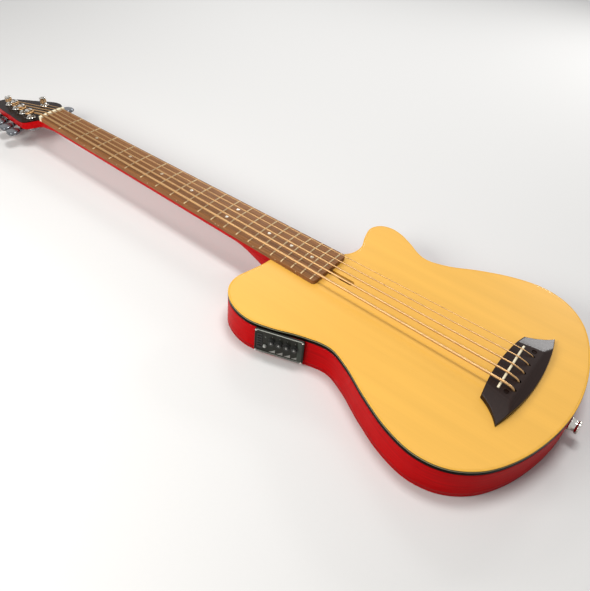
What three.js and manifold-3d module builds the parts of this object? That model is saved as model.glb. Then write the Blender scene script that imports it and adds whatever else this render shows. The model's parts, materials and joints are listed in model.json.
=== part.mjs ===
// Acoustic bass guitar with five strings, a thin flat-backed body and one cutaway.
// X runs along the strings towards the tail, Y towards the treble side, Z out of the top.
// The origin is on the back's outer face, half way along the body, on its centre line.
// All sizes are millimetres.
import * as THREE from 'three';
import * as BufferGeometryUtils from 'three/addons/utils/BufferGeometryUtils.js';
import Module from 'manifold-3d';

const wasm = await Module();
wasm.setup();

// Clearances
const SEAT = 0.3; // between pieces that rest on or are glued to each other
const RUN = 0.2; // radial, round a piece that turns or slides
const CUT = 1; // overrun of a cut past the face it opens

// Round pieces
const FINE_SIDES = 24;
const PLAIN_SIDES = 16;
const SMALL_SIDES = 12;

// Scale and fingerboard
const SCALE_LENGTH = 864;
const FRET_COUNT = 20;
const STEPS_PER_OCTAVE = 12;
const NUT_WIDTH = 48.5;
const LAST_FRET_WIDTH = 75.5;
const BOARD_THICKNESS = 7.2;
const BOARD_CORNER = 6;
const BOARD_RADIUS = 500;
const BOARD_FACETS = 4;
const BOARD_CORNER_STEPS = 3;
const FRET_FACETS = 2;
const FRET_HEIGHT = 1;
const FRET_WIDTH = 2.4;
const FRET_TOP_WIDTH = 1.2;
const FRET_TANG = 1;
const FRET_END_INSET = 0.6;

// Body
const BODY_LENGTH = 440;
const LOWER_BOUT = 356;
const WAIST = 232;
const UPPER_BOUT = 289;
const BODY_DEPTH = 51;
const TAIL_TO_SADDLE = 88;
const NECK_JOINT_FROM_SHOULDER = 10.5;
const JOINT_TREBLE_INSET = 5.2;
const OUTLINE_STEPS = 84;
const SOUNDBOARD_THICKNESS = 3.5;
const BACK_THICKNESS = 3.5;
const SIDE_THICKNESS = 2.5;
const BINDING_WIDTH = 2.5;
const BINDING_HEIGHT = 6;
const LINING_WIDTH = 6;
const TOP_LINING_HEIGHT = 12;
const BACK_LINING_HEIGHT = 10;

// Blocks and braces
const NECK_BLOCK_LENGTH = 62;
const NECK_BLOCK_PAST_ACCESS = 9;
const NECK_BLOCK_SHELF_DEPTH = 17;
const NECK_BLOCK_SLOPE = 15;
const TAIL_BLOCK_LENGTH = 20;
const TAIL_BLOCK_WIDTH = 64;
const BRIDGE_PLATE_LENGTH = 57;
const BRIDGE_PLATE_WIDTH = 84;
const BRIDGE_PLATE_THICKNESS = 2.5;
const BRIDGE_PLATE_FRONT_SHARE = 0.3;
const BRACE_WIDTH = 8;
const BRACE_HEIGHT = 12;
const X_BRACE_CROSSING_FROM_SADDLE = 75;
const X_BRACE_FRONT = 140;
const X_BRACE_REAR = 155;
const X_BRACE_ANGLE = 42;
const BACK_BRACE_FROM_SADDLE = [192, 14];
const BACK_BRACE_LENGTHS = [200, 310];

// Neck
const NECK_RING_STEPS = 12;
const NECK_ROUNDNESS = 0.85;
const HEEL_STEPS = 8;
const NECK_WOOD_AT_NUT = 13.5;
const NECK_WOOD_AT_HEEL = 17;
const HEEL_LENGTH = 72;
const HEEL_BOTTOM = 1.5;
const TENON_LENGTH = 24;
const TENON_ROOT = 6;
const TENON_WIDTH = 38;
const TENON_TOP_BELOW_BOARD = 4;
const TENON_DEPTH = 36;
const ROD_BELOW_BOARD = 7;
const ROD_RADIUS = 2.5;
const ROD_FROM_NUT = 15;
const ROD_PAST_BOARD = 7;
const ROD_NUT_RADIUS = 4.2;
const ROD_NUT_LENGTH = 14;
const ROD_NUT_GRIP = 6;
const ROD_NUT_SOCKET_RADIUS = 2.2;
const ROD_NUT_SOCKET_DEPTH = 6;
const ACCESS_WIDTH = 9.6;
const ACCESS_LENGTH = 39;
const ACCESS_DEPTH = 12;

// Headstock
const HEAD_TILT = 11.5;
const HEAD_DROP = 7;
const HEAD_LENGTH = 170;
const HEAD_HALF_WIDTH = 46;
const HEAD_WOOD = 12.2;
const HEAD_PLATE_THICKNESS = 1.5;
const HEAD_ROOT = 20;
const HEAD_OUTLINE_STEPS = 44;

// Nut, saddle and bridge
const NUT_THICKNESS = 5.5;
const NUT_ABOVE_FRETS = 2.4;
const NUT_SLOT_ABOVE_FRETS = 0.5;
const NUT_STRING_SPREAD = 36.8;
const SLOT_CLEARANCE = 0.3;
const SADDLE_STRING_SPREAD = 65.5;
const SADDLE_ABOVE_FRETS = 4.2;
const SADDLE_LENGTH = 84;
const SADDLE_THICKNESS = 3;
const SADDLE_SLOT_DEPTH = 6;
const SADDLE_SLANT = 3.6;
const SADDLE_COMPENSATION = 2.6;
const SADDLE_STEPS = 4;
const PICKUP_THICKNESS = 1.2;
const BRIDGE_HALF_LENGTH = 88;
const BRIDGE_THICKNESS = 9.4;
const BRIDGE_FRONT_HALF = 61;
const BRIDGE_FRONT_TO_SADDLE = 15;
const BRIDGE_FRONT_BULGE = 6;
const BRIDGE_SADDLE_TO_REAR = 35;
const BRIDGE_TIP_TO_REAR = 12.5;
const BRIDGE_END_HOLLOW = 4;
const BRIDGE_EDGE_STEPS = 8;
const BRIDGE_WING_FROM = 46;
const BRIDGE_WING_SKEW = 9;
const BRIDGE_TIP_THICKNESS = 3.6;
const BRIDGE_BEVEL_LENGTH = 13;
const BRIDGE_BEVEL_DROP = 5;
const STRING_HOLE_BEHIND_SADDLE = 13;
const STRING_HOLE_LENGTH = 8;
const STRING_HOLE_ANGLE = 60;
const BRIDGE_DOT_RADIUS = 3.4;
const BRIDGE_DOT_DEPTH = 1.2;
const BRIDGE_DOT_SPREAD = 82;
const BRIDGE_DOT_BEHIND_SADDLE = 12;

// Strings, from the bass side to the treble side
const STRINGS = [
  { diameter: 3.3, turns: 1.2 },
  { diameter: 2.7, turns: 1.6 },
  { diameter: 2.2, turns: 2 },
  { diameter: 1.65, turns: 2.4 },
  { diameter: 1.15, turns: 3 },
];
const STRING_SIDES = 6;
const STEPS_PER_TURN = 24;
const TURN_GAP = 0.9;
const LOWEST_TURN_LIFT = 2;
const GAP_TEST_STEP = 0.5;

// Tuners
const POST_FROM_NUT = 24;
const POST_PITCH = 34;
const POST_ROW_FROM_CENTRE = 25;
const POST_ROW_STEP = 7.5;
const TREBLE_POST_FROM_NUT = 55;
const TREBLE_POST_FROM_CENTRE = 24;
const TREBLE_TUNER_TURN = 186;
const POST_RADIUS = 4.5;
const POST_WAIST_RADIUS = 4.2;
const POST_FLANGE_RADIUS = 5.8;
const POST_FLANGE_HEIGHT = 0.7;
const POST_HEIGHT = 16;
const POST_HEAD_HEIGHT = 1.4;
const POST_SLOT_WIDTH = 2.2;
const POST_SLOT_DEPTH = 3;
const BUSHING_RADIUS = 8;
const BUSHING_HEIGHT = 3;
const BUSHING_SLEEVE_RADIUS = 6;
const BUSHING_SLEEVE_LENGTH = 8;
const GEAR_RADIUS = 9.5;
const GEAR_TEETH = 20;
const GEAR_TOOTH = 1.3;
const GEAR_THICKNESS = 4;
const WORM_RADIUS = 3.7;
const WORM_LENGTH = 13;
const KEY_SHAFT_RADIUS = 2.3;
const KEY_REACH = 22;
const KEY_COLLAR_RADIUS = 3.6;
const KEY_COLLAR_LENGTH = 3;
const KEY_WIDTH = 26;
const KEY_LENGTH = 22;
const KEY_THICKNESS = 6;
const KEY_EDGE = 1.8;
const TUNER_PLATE_THICKNESS = 1.5;
const TUNER_PLATE_HALF_WIDTH = 10.5;
const TUNER_PLATE_REAR = 10;
const TUNER_PLATE_FRONT = 18.5;
const EAR_THICKNESS = 2;
const EAR_HALF_WIDTH = 4.4;
const EAR_BELOW_SHAFT = 4;

// Preamp
const PREAMP_FROM_SHOULDER = 107;
const PREAMP_HEIGHT_SHARE = 0.49;
const PREAMP_LENGTH = 66;
const PREAMP_HEIGHT = 40;
const PREAMP_FACE = 3;
const PREAMP_CORNER = 2.5;
const PREAMP_BOX_LENGTH = 62;
const PREAMP_BOX_HEIGHT = 32;
const PREAMP_BOX_DEPTH = 30;
const PREAMP_WALL = 1.8;
const KNOB_RADIUS = 4.2;
const KNOB_HEIGHT = 5;
const KNOB_CHAMFER = 0.8;
const KNOB_SLOT_WIDTH = 1;
const KNOB_SHAFT_RADIUS = 1.5;
const KNOB_SHAFT_LENGTH = 12;
const KNOB_PITCH = 10.2;
const KNOB_FIRST = -9.2;
const KNOB_LEVEL = 5;
const KNOB_COUNT = 4;
const BUTTON_RADIUS = 2.2;
const BUTTON_PROUD = 2.2;
const BUTTON_LENGTH = 9;
const BUTTON_PLACE = -18.5;
const BUTTON_LEVEL = -6.7;
const TRAY_FRONT_WIDTH = 7.4;
const TRAY_FRONT_HEIGHT = 26;
const TRAY_PLACE = -26;
const TRAY_WIDTH = 5.6;
const TRAY_HEIGHT = 23.5;
const TRAY_DEPTH = 25;
const TRAY_RIDGES = 5;
const TRAY_RIDGE_HEIGHT = 1;
const CELL_RADIUS = 10;
const CELL_THICKNESS = 3.2;

// End pin
const PIN_BARREL_RADIUS = 6;
const PIN_BARREL_LENGTH = 42;
const PIN_PROUD = 13;
const PIN_SOCKET_RADIUS = 3.4;
const PIN_SOCKET_DEPTH = 30;
const STRAP_RADIUS = 8.5;
const STRAP_WAIST_RADIUS = 7.2;
const STRAP_LIP = 2.5;

// Places that follow from the sizes
const SADDLE_X = BODY_LENGTH / 2 - TAIL_TO_SADDLE;
const NUT_X = SADDLE_X - SCALE_LENGTH;
const SHOULDER_X = -BODY_LENGTH / 2;
const TAIL_X = BODY_LENGTH / 2;
const JOINT_X = SHOULDER_X + NECK_JOINT_FROM_SHOULDER;
const BOARD_BOTTOM = BODY_DEPTH + SEAT;
const BOARD_TOP = BOARD_BOTTOM + BOARD_THICKNESS;
const FRET_PLANE = BOARD_TOP + FRET_HEIGHT;
const NECK_TOP = BODY_DEPTH;
const TOP_UNDERSIDE = BODY_DEPTH - SOUNDBOARD_THICKNESS;
const ROD_Z = NECK_TOP - ROD_BELOW_BOARD;
const BOARD_END_X = (fretX(FRET_COUNT) + fretX(FRET_COUNT + 1)) / 2;
const ROD_END_X = BOARD_END_X + ROD_PAST_BOARD;
const ACCESS_END_X = BOARD_END_X + ACCESS_LENGTH;
const SHELF_END_X = ACCESS_END_X + NECK_BLOCK_PAST_ACCESS;
const ACCESS_FLOOR = NECK_TOP - ACCESS_DEPTH;

// Where fret number n crosses the centre line.
function fretX(n) {
  return NUT_X + SCALE_LENGTH * (1 - 2 ** (-n / STEPS_PER_OCTAVE));
}

// Half the width of the neck and fingerboard at x.
function boardHalfWidth(x) {
  const along = (x - NUT_X) / (fretX(FRET_COUNT) - NUT_X);
  return (NUT_WIDTH + (LAST_FRET_WIDTH - NUT_WIDTH) * along) / 2;
}

// How far the cambered board, frets, nut and saddle fall off at a distance y from the middle.
function camber(y) {
  return (y * y) / (2 * BOARD_RADIUS);
}

// Materials
function finish(color, roughness, metalness = 0) {
  return new THREE.MeshStandardMaterial({ color, roughness, metalness });
}

const material = {
  honeySpruce: finish(0xe8b45a, 0.25),
  redMahogany: finish(0x8c1218, 0.22),
  bareWood: finish(0xc49a63, 0.7),
  blackPlastic: finish(0x121212, 0.3),
  rosewood: finish(0x5a3a28, 0.5),
  darkWood: finish(0x241a16, 0.35),
  bone: finish(0xeee3c4, 0.4),
  bronze: finish(0xc08a4a, 0.35, 0.9),
  chrome: finish(0xcfd2d6, 0.12, 1),
  brass: finish(0xb8954a, 0.4, 0.9),
  steel: finish(0x9a9a9a, 0.4, 0.9),
  charcoal: finish(0x2b2b2d, 0.5),
};

// Closed geometry to solid and back.
function toSolid(geometry) {
  const bare = geometry.clone();
  bare.deleteAttribute('normal');
  bare.deleteAttribute('uv');
  const merged = BufferGeometryUtils.mergeVertices(bare);
  return new wasm.Manifold(new wasm.Mesh({
    numProp: 3,
    vertProperties: Float32Array.from(merged.attributes.position.array),
    triVerts: Uint32Array.from(merged.index.array),
  }));
}

function toGeometry(solid) {
  const mesh = solid.getMesh();
  const geometry = new THREE.BufferGeometry();
  geometry.setAttribute('position', new THREE.BufferAttribute(mesh.vertProperties, 3));
  geometry.setIndex(new THREE.BufferAttribute(mesh.triVerts, 1));
  geometry.computeVertexNormals();
  return geometry;
}

function cutAway(geometry, cutters) {
  return toGeometry(cutters.reduce((solid, cutter) => solid.subtract(toSolid(cutter)), toSolid(geometry)));
}

function joined(geometries) {
  return toGeometry(geometries.map(toSolid).reduce((solid, next) => solid.add(next)));
}

// An upright plate over an outline of [x, y] points, from one height to another.
function upright(outline, low, high) {
  const shape = new THREE.Shape(outline.map(([x, y]) => new THREE.Vector2(x, y)));
  const geometry = new THREE.ExtrudeGeometry(shape, { depth: high - low, bevelEnabled: false });
  return geometry.translate(0, 0, low);
}

// A plate over an outline of [x, z] points, from one y to another.
function crosswise(outline, low, high) {
  const geometry = upright(outline.map(([x, z]) => [x, -z]), low, high);
  return geometry.rotateX(-Math.PI / 2);
}

function box(low, high) {
  const size = high.map((value, axis) => value - low[axis]);
  const geometry = new THREE.BoxGeometry(...size);
  return geometry.translate(...high.map((value, axis) => (value + low[axis]) / 2));
}

// A round bar between two points.
function bar(radius, from, to, sides = PLAIN_SIDES) {
  const start = new THREE.Vector3(...from);
  const end = new THREE.Vector3(...to);
  const axis = end.clone().sub(start);
  const geometry = new THREE.CylinderGeometry(radius, radius, axis.length(), sides);
  const alongY = new THREE.Vector3(0, 1, 0);
  geometry.applyQuaternion(new THREE.Quaternion().setFromUnitVectors(alongY, axis.clone().normalize()));
  return geometry.translate(...start.add(end).multiplyScalar(1 / 2).toArray());
}

// A turned piece about Z from a profile of [radius, height] points.
function turned(profile, sides = FINE_SIDES) {
  const points = profile.map(([radius, height]) => new THREE.Vector2(radius, height));
  return new THREE.LatheGeometry(points, sides).rotateX(Math.PI / 2);
}

// A closed skin through rings of points, each ring with as many points, capped at both ends.
function skin(rings) {
  const sides = rings[0].length;
  const corners = rings.flat();
  const faces = [];
  for (let ring = 0; ring + 1 < rings.length; ring += 1) {
    for (let side = 0; side < sides; side += 1) {
      const here = ring * sides + side;
      const next = ring * sides + ((side + 1) % sides);
      faces.push([here, next, next + sides], [here, next + sides, here + sides]);
    }
  }
  const last = corners.length - sides;
  for (let side = 1; side + 1 < sides; side += 1) {
    faces.push([0, side + 1, side], [last, last + side, last + side + 1]);
  }
  const volume = faces.reduce((sum, [a, b, c]) => {
    const cross = new THREE.Vector3().crossVectors(corners[b], corners[c]);
    return sum + corners[a].dot(cross);
  }, 0);
  const outward = volume > 0 ? faces : faces.map(([a, b, c]) => [a, c, b]);
  const geometry = new THREE.BufferGeometry().setFromPoints(corners);
  geometry.setIndex(outward.flat());
  geometry.computeVertexNormals();
  return geometry;
}

// One unbroken tube through a list of points.
function tube(path, radius) {
  let across = new THREE.Vector3(0, 0, 1);
  const rings = path.map((point, index) => {
    const before = path[Math.max(index - 1, 0)];
    const after = path[Math.min(index + 1, path.length - 1)];
    const forward = after.clone().sub(before).normalize();
    across = across.clone().addScaledVector(forward, -across.dot(forward)).normalize();
    const aside = new THREE.Vector3().crossVectors(forward, across);
    return Array.from({ length: STRING_SIDES }, (_, side) => {
      const angle = (side / STRING_SIDES) * 2 * Math.PI;
      return point.clone()
        .addScaledVector(across, radius * Math.cos(angle))
        .addScaledVector(aside, radius * Math.sin(angle));
    });
  });
  return skin(rings);
}

const instrument = new THREE.Group();

function place(name, geometry, look, parent = instrument) {
  const mesh = new THREE.Mesh(geometry, look);
  mesh.name = name;
  parent.add(mesh);
  return mesh;
}

// Body outline, as shares of the body's length from the shoulder and of half a bout's width.
const bassEdgeShares = [
  ['upper', 0.020, 0.360], ['upper', 0.006, 0.554], ['upper', 0.000, 0.657], ['upper', 0.011, 0.796],
  ['upper', 0.040, 0.900], ['upper', 0.085, 0.972], ['upper', 0.145, 1.000], ['upper', 0.215, 0.952],
  ['waist', 0.300, 1.058], ['waist', 0.385, 0.990], ['waist', 0.455, 1.082], ['lower', 0.550, 0.837],
  ['lower', 0.650, 0.952], ['lower', 0.740, 1.000], ['lower', 0.820, 0.963], ['lower', 0.890, 0.840],
  ['lower', 0.945, 0.629], ['lower', 0.985, 0.326],
];
const trebleEdgeShares = [
  ['lower', 0.985, 0.326], ['lower', 0.945, 0.629], ['lower', 0.890, 0.840], ['lower', 0.820, 0.963],
  ['lower', 0.740, 1.000], ['lower', 0.650, 0.952], ['lower', 0.550, 0.837], ['waist', 0.465, 1.090],
  ['waist', 0.400, 1.010], ['upper', 0.365, 0.829], ['upper', 0.312, 0.919], ['upper', 0.259, 0.990],
  ['upper', 0.217, 1.003], ['upper', 0.185, 0.960], ['upper', 0.167, 0.855], ['upper', 0.178, 0.695],
  ['upper', 0.200, 0.520], ['upper', 0.193, 0.370], ['upper', 0.160, 0.262], ['upper', 0.110, 0.222],
];

function edgePoint([bout, along, out], side) {
  const half = { upper: UPPER_BOUT, waist: WAIST, lower: LOWER_BOUT }[bout] / 2;
  return new THREE.Vector3(SHOULDER_X + along * BODY_LENGTH, side * out * half, 0);
}

const jointBassY = -boardHalfWidth(JOINT_X);
const jointTrebleY = boardHalfWidth(JOINT_X) - JOINT_TREBLE_INSET;
const outlineCurve = new THREE.CatmullRomCurve3([
  new THREE.Vector3(JOINT_X, jointBassY, 0),
  ...bassEdgeShares.map((share) => edgePoint(share, -1)),
  new THREE.Vector3(TAIL_X, 0, 0),
  ...trebleEdgeShares.map((share) => edgePoint(share, 1)),
  new THREE.Vector3(JOINT_X, jointTrebleY, 0),
], false, 'centripetal');
const edge = outlineCurve.getSpacedPoints(OUTLINE_STEPS).map(({ x, y }) => [x, y]);
const tailIndex = edge.reduce((best, point, index) => (point[0] > edge[best][0] ? index : best), 0);
edge[tailIndex] = [TAIL_X, 0];

// The outline moved inwards by a distance, from its bass end to its treble end.
function inset(distance) {
  return edge.map(([x, y], index) => {
    const before = edge[Math.max(index - 1, 0)];
    const after = edge[Math.min(index + 1, edge.length - 1)];
    const run = Math.hypot(after[0] - before[0], after[1] - before[1]);
    const inwardX = (before[1] - after[1]) / run;
    const inwardY = (after[0] - before[0]) / run;
    return [x + inwardX * distance, y + inwardY * distance];
  });
}

// A strip that follows the outline between two insets, from one point's index to another.
function strip(first, last, near, far, low, high) {
  const outer = inset(near).slice(first, last + 1);
  const inner = inset(far).slice(first, last + 1).reverse();
  return upright([...outer, ...inner], low, high);
}

const edgeEnd = edge.length - 1;
const plateLow = BACK_THICKNESS + SEAT;
const plateHigh = TOP_UNDERSIDE - SEAT;
const liningInset = SIDE_THICKNESS + SEAT;

// The preamp sits on the bass side, on the chord of the wall between its two ends.
function bassWall(x) {
  const widest = edge.reduce((best, point, index) => (
    index < edgeEnd / 4 && point[1] < edge[best][1] ? index : best
  ), 0);
  const after = edge.findIndex((point, index) => index > widest && point[0] > x);
  const [x1, y1] = edge[after - 1];
  const [x2, y2] = edge[after];
  return y1 + ((y2 - y1) * (x - x1)) / (x2 - x1);
}

const preampX = SHOULDER_X + PREAMP_FROM_SHOULDER;
const preampEnds = [-1, 1].map((end) => {
  const x = preampX + (end * PREAMP_LENGTH) / 2;
  return new THREE.Vector2(x, bassWall(x));
});
const preampRun = preampEnds[1].clone().sub(preampEnds[0]);
const preamp = new THREE.Group();
preamp.position.set(
  (preampEnds[0].x + preampEnds[1].x) / 2,
  (preampEnds[0].y + preampEnds[1].y) / 2,
  BODY_DEPTH * PREAMP_HEIGHT_SHARE,
);
preamp.rotation.z = preampRun.angle();
preamp.updateMatrix();
const preampBulge = Math.max(...edge
  .filter(([x, y]) => x > preampEnds[0].x && x < preampEnds[1].x && y < 0)
  .map(([x, y]) => -new THREE.Vector3(x, y, 0).applyMatrix4(preamp.matrix.clone().invert()).y));
const preampFront = -preampBulge - SEAT;

// The space that the preamp's box takes through the side, with a clearance round it.
function preampSpace(clearance) {
  const across = PREAMP_BOX_LENGTH / 2 + clearance;
  const up = PREAMP_BOX_HEIGHT / 2 + clearance;
  const space = box(
    [-across, preampFront - PREAMP_FACE, -up],
    [across, preampFront + PREAMP_BOX_DEPTH + clearance, up],
  );
  return space.applyMatrix4(preamp.matrix);
}

// Soundboard, with the truss rod's access slot at the end of the fingerboard
function makeSoundboard() {
  const board = upright(inset(BINDING_WIDTH + SEAT), TOP_UNDERSIDE, BODY_DEPTH);
  const slot = box(
    [BOARD_END_X - BOARD_CORNER, -ACCESS_WIDTH / 2, TOP_UNDERSIDE - CUT],
    [ACCESS_END_X, ACCESS_WIDTH / 2, BODY_DEPTH + CUT],
  );
  place('soundboard', cutAway(board, [slot]), material.honeySpruce);
}

function makeShell() {
  place('back_plate', upright(edge, 0, BACK_THICKNESS), material.redMahogany);
  const binding = strip(0, edgeEnd, 0, BINDING_WIDTH, BODY_DEPTH - BINDING_HEIGHT, BODY_DEPTH);
  place('top_binding', binding, material.blackPlastic);
  const sideHigh = BODY_DEPTH - BINDING_HEIGHT - SEAT;
  const pinHole = bar(
    PIN_BARREL_RADIUS + SEAT,
    [TAIL_X - TAIL_BLOCK_LENGTH, 0, pinZ],
    [TAIL_X + CUT, 0, pinZ],
  );
  const seam = box([TAIL_X - TAIL_BLOCK_LENGTH, -SEAT / 2, 0], [TAIL_X + CUT, SEAT / 2, BODY_DEPTH]);
  const bassSide = strip(0, tailIndex, 0, SIDE_THICKNESS, plateLow, sideHigh);
  place('side_bass', cutAway(bassSide, [preampSpace(SEAT), pinHole, seam]), material.redMahogany);
  const trebleSide = strip(tailIndex, edgeEnd, 0, SIDE_THICKNESS, plateLow, sideHigh);
  place('side_treble', cutAway(trebleSide, [pinHole, seam]), material.redMahogany);
}

// Blocks, linings and braces inside the body
const blockSideY = jointTrebleY - SIDE_THICKNESS - SEAT;
const tailBlockX = TAIL_X - SIDE_THICKNESS - SEAT - TAIL_BLOCK_LENGTH;
const pinZ = BODY_DEPTH / 2;

function makeBlocks() {
  const shelfLow = plateHigh - NECK_BLOCK_SHELF_DEPTH;
  const footEnd = JOINT_X + NECK_BLOCK_LENGTH;
  const foot = [
    [JOINT_X, plateLow], [footEnd, plateLow],
    [footEnd + NECK_BLOCK_SLOPE, shelfLow], [footEnd + NECK_BLOCK_SLOPE, plateHigh], [JOINT_X, plateHigh],
  ];
  const shelf = [
    [JOINT_X, shelfLow], [SHELF_END_X, shelfLow], [SHELF_END_X, plateHigh], [JOINT_X, plateHigh],
  ];
  const groove = box(
    [JOINT_X - CUT, -ACCESS_WIDTH / 2, ACCESS_FLOOR],
    [ACCESS_END_X, ACCESS_WIDTH / 2, BODY_DEPTH],
  );
  const mortise = box(
    [JOINT_X - CUT, -TENON_WIDTH / 2 - SEAT, NECK_TOP - TENON_TOP_BELOW_BOARD - TENON_DEPTH - SEAT],
    [JOINT_X + TENON_LENGTH + SEAT, TENON_WIDTH / 2 + SEAT, BODY_DEPTH],
  );
  const neckBlock = joined([foot, shelf].map((profile) => (
    crosswise(profile, jointBassY + SEAT * 2, blockSideY)
  )));
  place('neck_block', cutAway(neckBlock, [groove, mortise]), material.bareWood);

  const inside = toSolid(upright(inset(liningInset), plateLow, plateHigh));
  const block = box(
    [tailBlockX, -TAIL_BLOCK_WIDTH / 2, plateLow - CUT],
    [TAIL_X, TAIL_BLOCK_WIDTH / 2, plateHigh + CUT],
  );
  const hole = bar(PIN_BARREL_RADIUS + SEAT, [tailBlockX - CUT, 0, pinZ], [TAIL_X, 0, pinZ]);
  const tailBlock = toGeometry(inside.intersect(toSolid(block)).subtract(toSolid(hole)));
  place('tail_block', tailBlock, material.bareWood);
}

function makeLinings() {
  const nearBlock = box(
    [JOINT_X - CUT, 0, 0],
    [SHELF_END_X + SEAT, blockSideY + SEAT, BODY_DEPTH],
  );
  const nearTail = box(
    [tailBlockX - SEAT, -TAIL_BLOCK_WIDTH / 2 - SEAT, 0],
    [TAIL_X, TAIL_BLOCK_WIDTH / 2 + SEAT, BODY_DEPTH],
  );
  const levels = {
    top: [plateHigh - TOP_LINING_HEIGHT, plateHigh],
    back: [plateLow, plateLow + BACK_LINING_HEIGHT],
  };
  for (const [level, [low, high]] of Object.entries(levels)) {
    const bass = strip(0, tailIndex, liningInset, liningInset + LINING_WIDTH, low, high);
    const treble = strip(tailIndex, edgeEnd, liningInset, liningInset + LINING_WIDTH, low, high);
    place(`${level}_lining_bass`, cutAway(bass, [nearTail, preampSpace(SEAT)]), material.bareWood);
    place(`${level}_lining_treble`, cutAway(treble, [nearTail, nearBlock]), material.bareWood);
  }
}

// A bar of the brace's width lying in a plane z, between two [x, y] points.
function brace(from, to, low, high) {
  const length = Math.hypot(to[0] - from[0], to[1] - from[1]);
  const geometry = box([0, -BRACE_WIDTH / 2, low], [length, BRACE_WIDTH / 2, high]);
  geometry.rotateZ(Math.atan2(to[1] - from[1], to[0] - from[0]));
  return geometry.translate(from[0], from[1], 0);
}

function makeBraces() {
  const crossX = SADDLE_X - X_BRACE_CROSSING_FROM_SADDLE;
  const slope = THREE.MathUtils.degToRad(X_BRACE_ANGLE);
  const legs = [-1, 1].map((side) => {
    const run = [Math.cos(slope), side * Math.sin(slope)];
    const from = run.map((value, axis) => (axis ? 0 : crossX) - value * X_BRACE_FRONT);
    const to = run.map((value, axis) => (axis ? 0 : crossX) + value * X_BRACE_REAR);
    return brace(from, to, plateHigh - BRACE_HEIGHT, plateHigh);
  });
  place('x_brace', joined(legs), material.bareWood);
  BACK_BRACE_FROM_SADDLE.forEach((distance, index) => {
    const half = BACK_BRACE_LENGTHS[index] / 2;
    const x = SADDLE_X - distance;
    const geometry = brace([x, -half], [x, half], plateLow, plateLow + BRACE_HEIGHT);
    place(`back_brace_${index + 1}`, geometry, material.bareWood);
  });
  const plateX = SADDLE_X + SADDLE_COMPENSATION;
  const plate = box(
    [plateX - BRIDGE_PLATE_LENGTH * BRIDGE_PLATE_FRONT_SHARE, -BRIDGE_PLATE_WIDTH / 2,
      plateHigh - BRIDGE_PLATE_THICKNESS],
    [plateX + BRIDGE_PLATE_LENGTH * (1 - BRIDGE_PLATE_FRONT_SHARE), BRIDGE_PLATE_WIDTH / 2, plateHigh],
  );
  place('bridge_plate', plate, material.bareWood);
}

// Neck, with its heel, tenon and headstock in one piece of wood
const head = new THREE.Group();
head.position.set(NUT_X - NUT_THICKNESS - 2 * SEAT, 0, FRET_PLANE - HEAD_DROP);
head.rotation.y = -THREE.MathUtils.degToRad(HEAD_TILT);
head.updateMatrix();
instrument.add(head);
const headWoodTop = -HEAD_PLATE_THICKNESS - SEAT;
const headBack = headWoodTop - HEAD_WOOD;
const neckStartX = head.position.x;
const heelStartX = JOINT_X - HEEL_LENGTH;

function neckWood(x) {
  const along = Math.min((x - NUT_X) / (heelStartX - NUT_X), 1);
  const plain = NECK_WOOD_AT_NUT + (NECK_WOOD_AT_HEEL - NECK_WOOD_AT_NUT) * along;
  const rise = THREE.MathUtils.smoothstep(x, heelStartX, JOINT_X);
  return plain + (NECK_TOP - HEEL_BOTTOM - plain) * rise;
}

function neckRing(x) {
  return Array.from({ length: NECK_RING_STEPS + 1 }, (_, step) => {
    const angle = (Math.PI * step) / NECK_RING_STEPS;
    const y = boardHalfWidth(x) * Math.cos(angle);
    return new THREE.Vector3(x, y, NECK_TOP - neckWood(x) * Math.sin(angle) ** NECK_ROUNDNESS);
  });
}

// Headstock outline, as shares of its length behind the nut and of its half width.
const headShares = [
  [0.025, -0.530], [0.055, -0.700], [0.085, -0.920], [0.120, -1.000], [0.165, -0.985], [0.480, -0.715],
  [0.800, -0.440], [0.930, -0.310], [0.985, -0.160], [1.000, 0.030], [0.980, 0.230], [0.920, 0.370],
  [0.800, 0.520], [0.560, 0.760], [0.400, 0.930], [0.300, 1.000], [0.210, 0.970], [0.140, 0.850],
  [0.080, 0.640], [0.030, 0.530],
];

function headOutline(start) {
  const rootHalf = boardHalfWidth(neckStartX);
  const curve = new THREE.CatmullRomCurve3([
    new THREE.Vector3(-start, -rootHalf, 0),
    ...headShares.map(([along, out]) => new THREE.Vector3(-along * HEAD_LENGTH, out * HEAD_HALF_WIDTH, 0)),
    new THREE.Vector3(-start, rootHalf, 0),
  ], false, 'centripetal');
  return curve.getSpacedPoints(HEAD_OUTLINE_STEPS).map(({ x, y }) => [x, y]);
}

const postPlaces = [
  ...[0, 1, 2, 3].map((step) => ({
    x: -POST_FROM_NUT - step * POST_PITCH,
    y: -POST_ROW_FROM_CENTRE + step * POST_ROW_STEP,
    turn: -Math.atan2(POST_ROW_STEP, POST_PITCH),
    side: 1,
  })),
  {
    x: -TREBLE_POST_FROM_NUT,
    y: TREBLE_POST_FROM_CENTRE,
    turn: THREE.MathUtils.degToRad(TREBLE_TUNER_TURN),
    side: -1,
  },
];

function postHoles() {
  const radius = BUSHING_SLEEVE_RADIUS + 2 * SEAT;
  return postPlaces.map(({ x, y }) => bar(radius, [x, y, headBack - CUT], [x, y, CUT], SMALL_SIDES));
}

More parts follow.
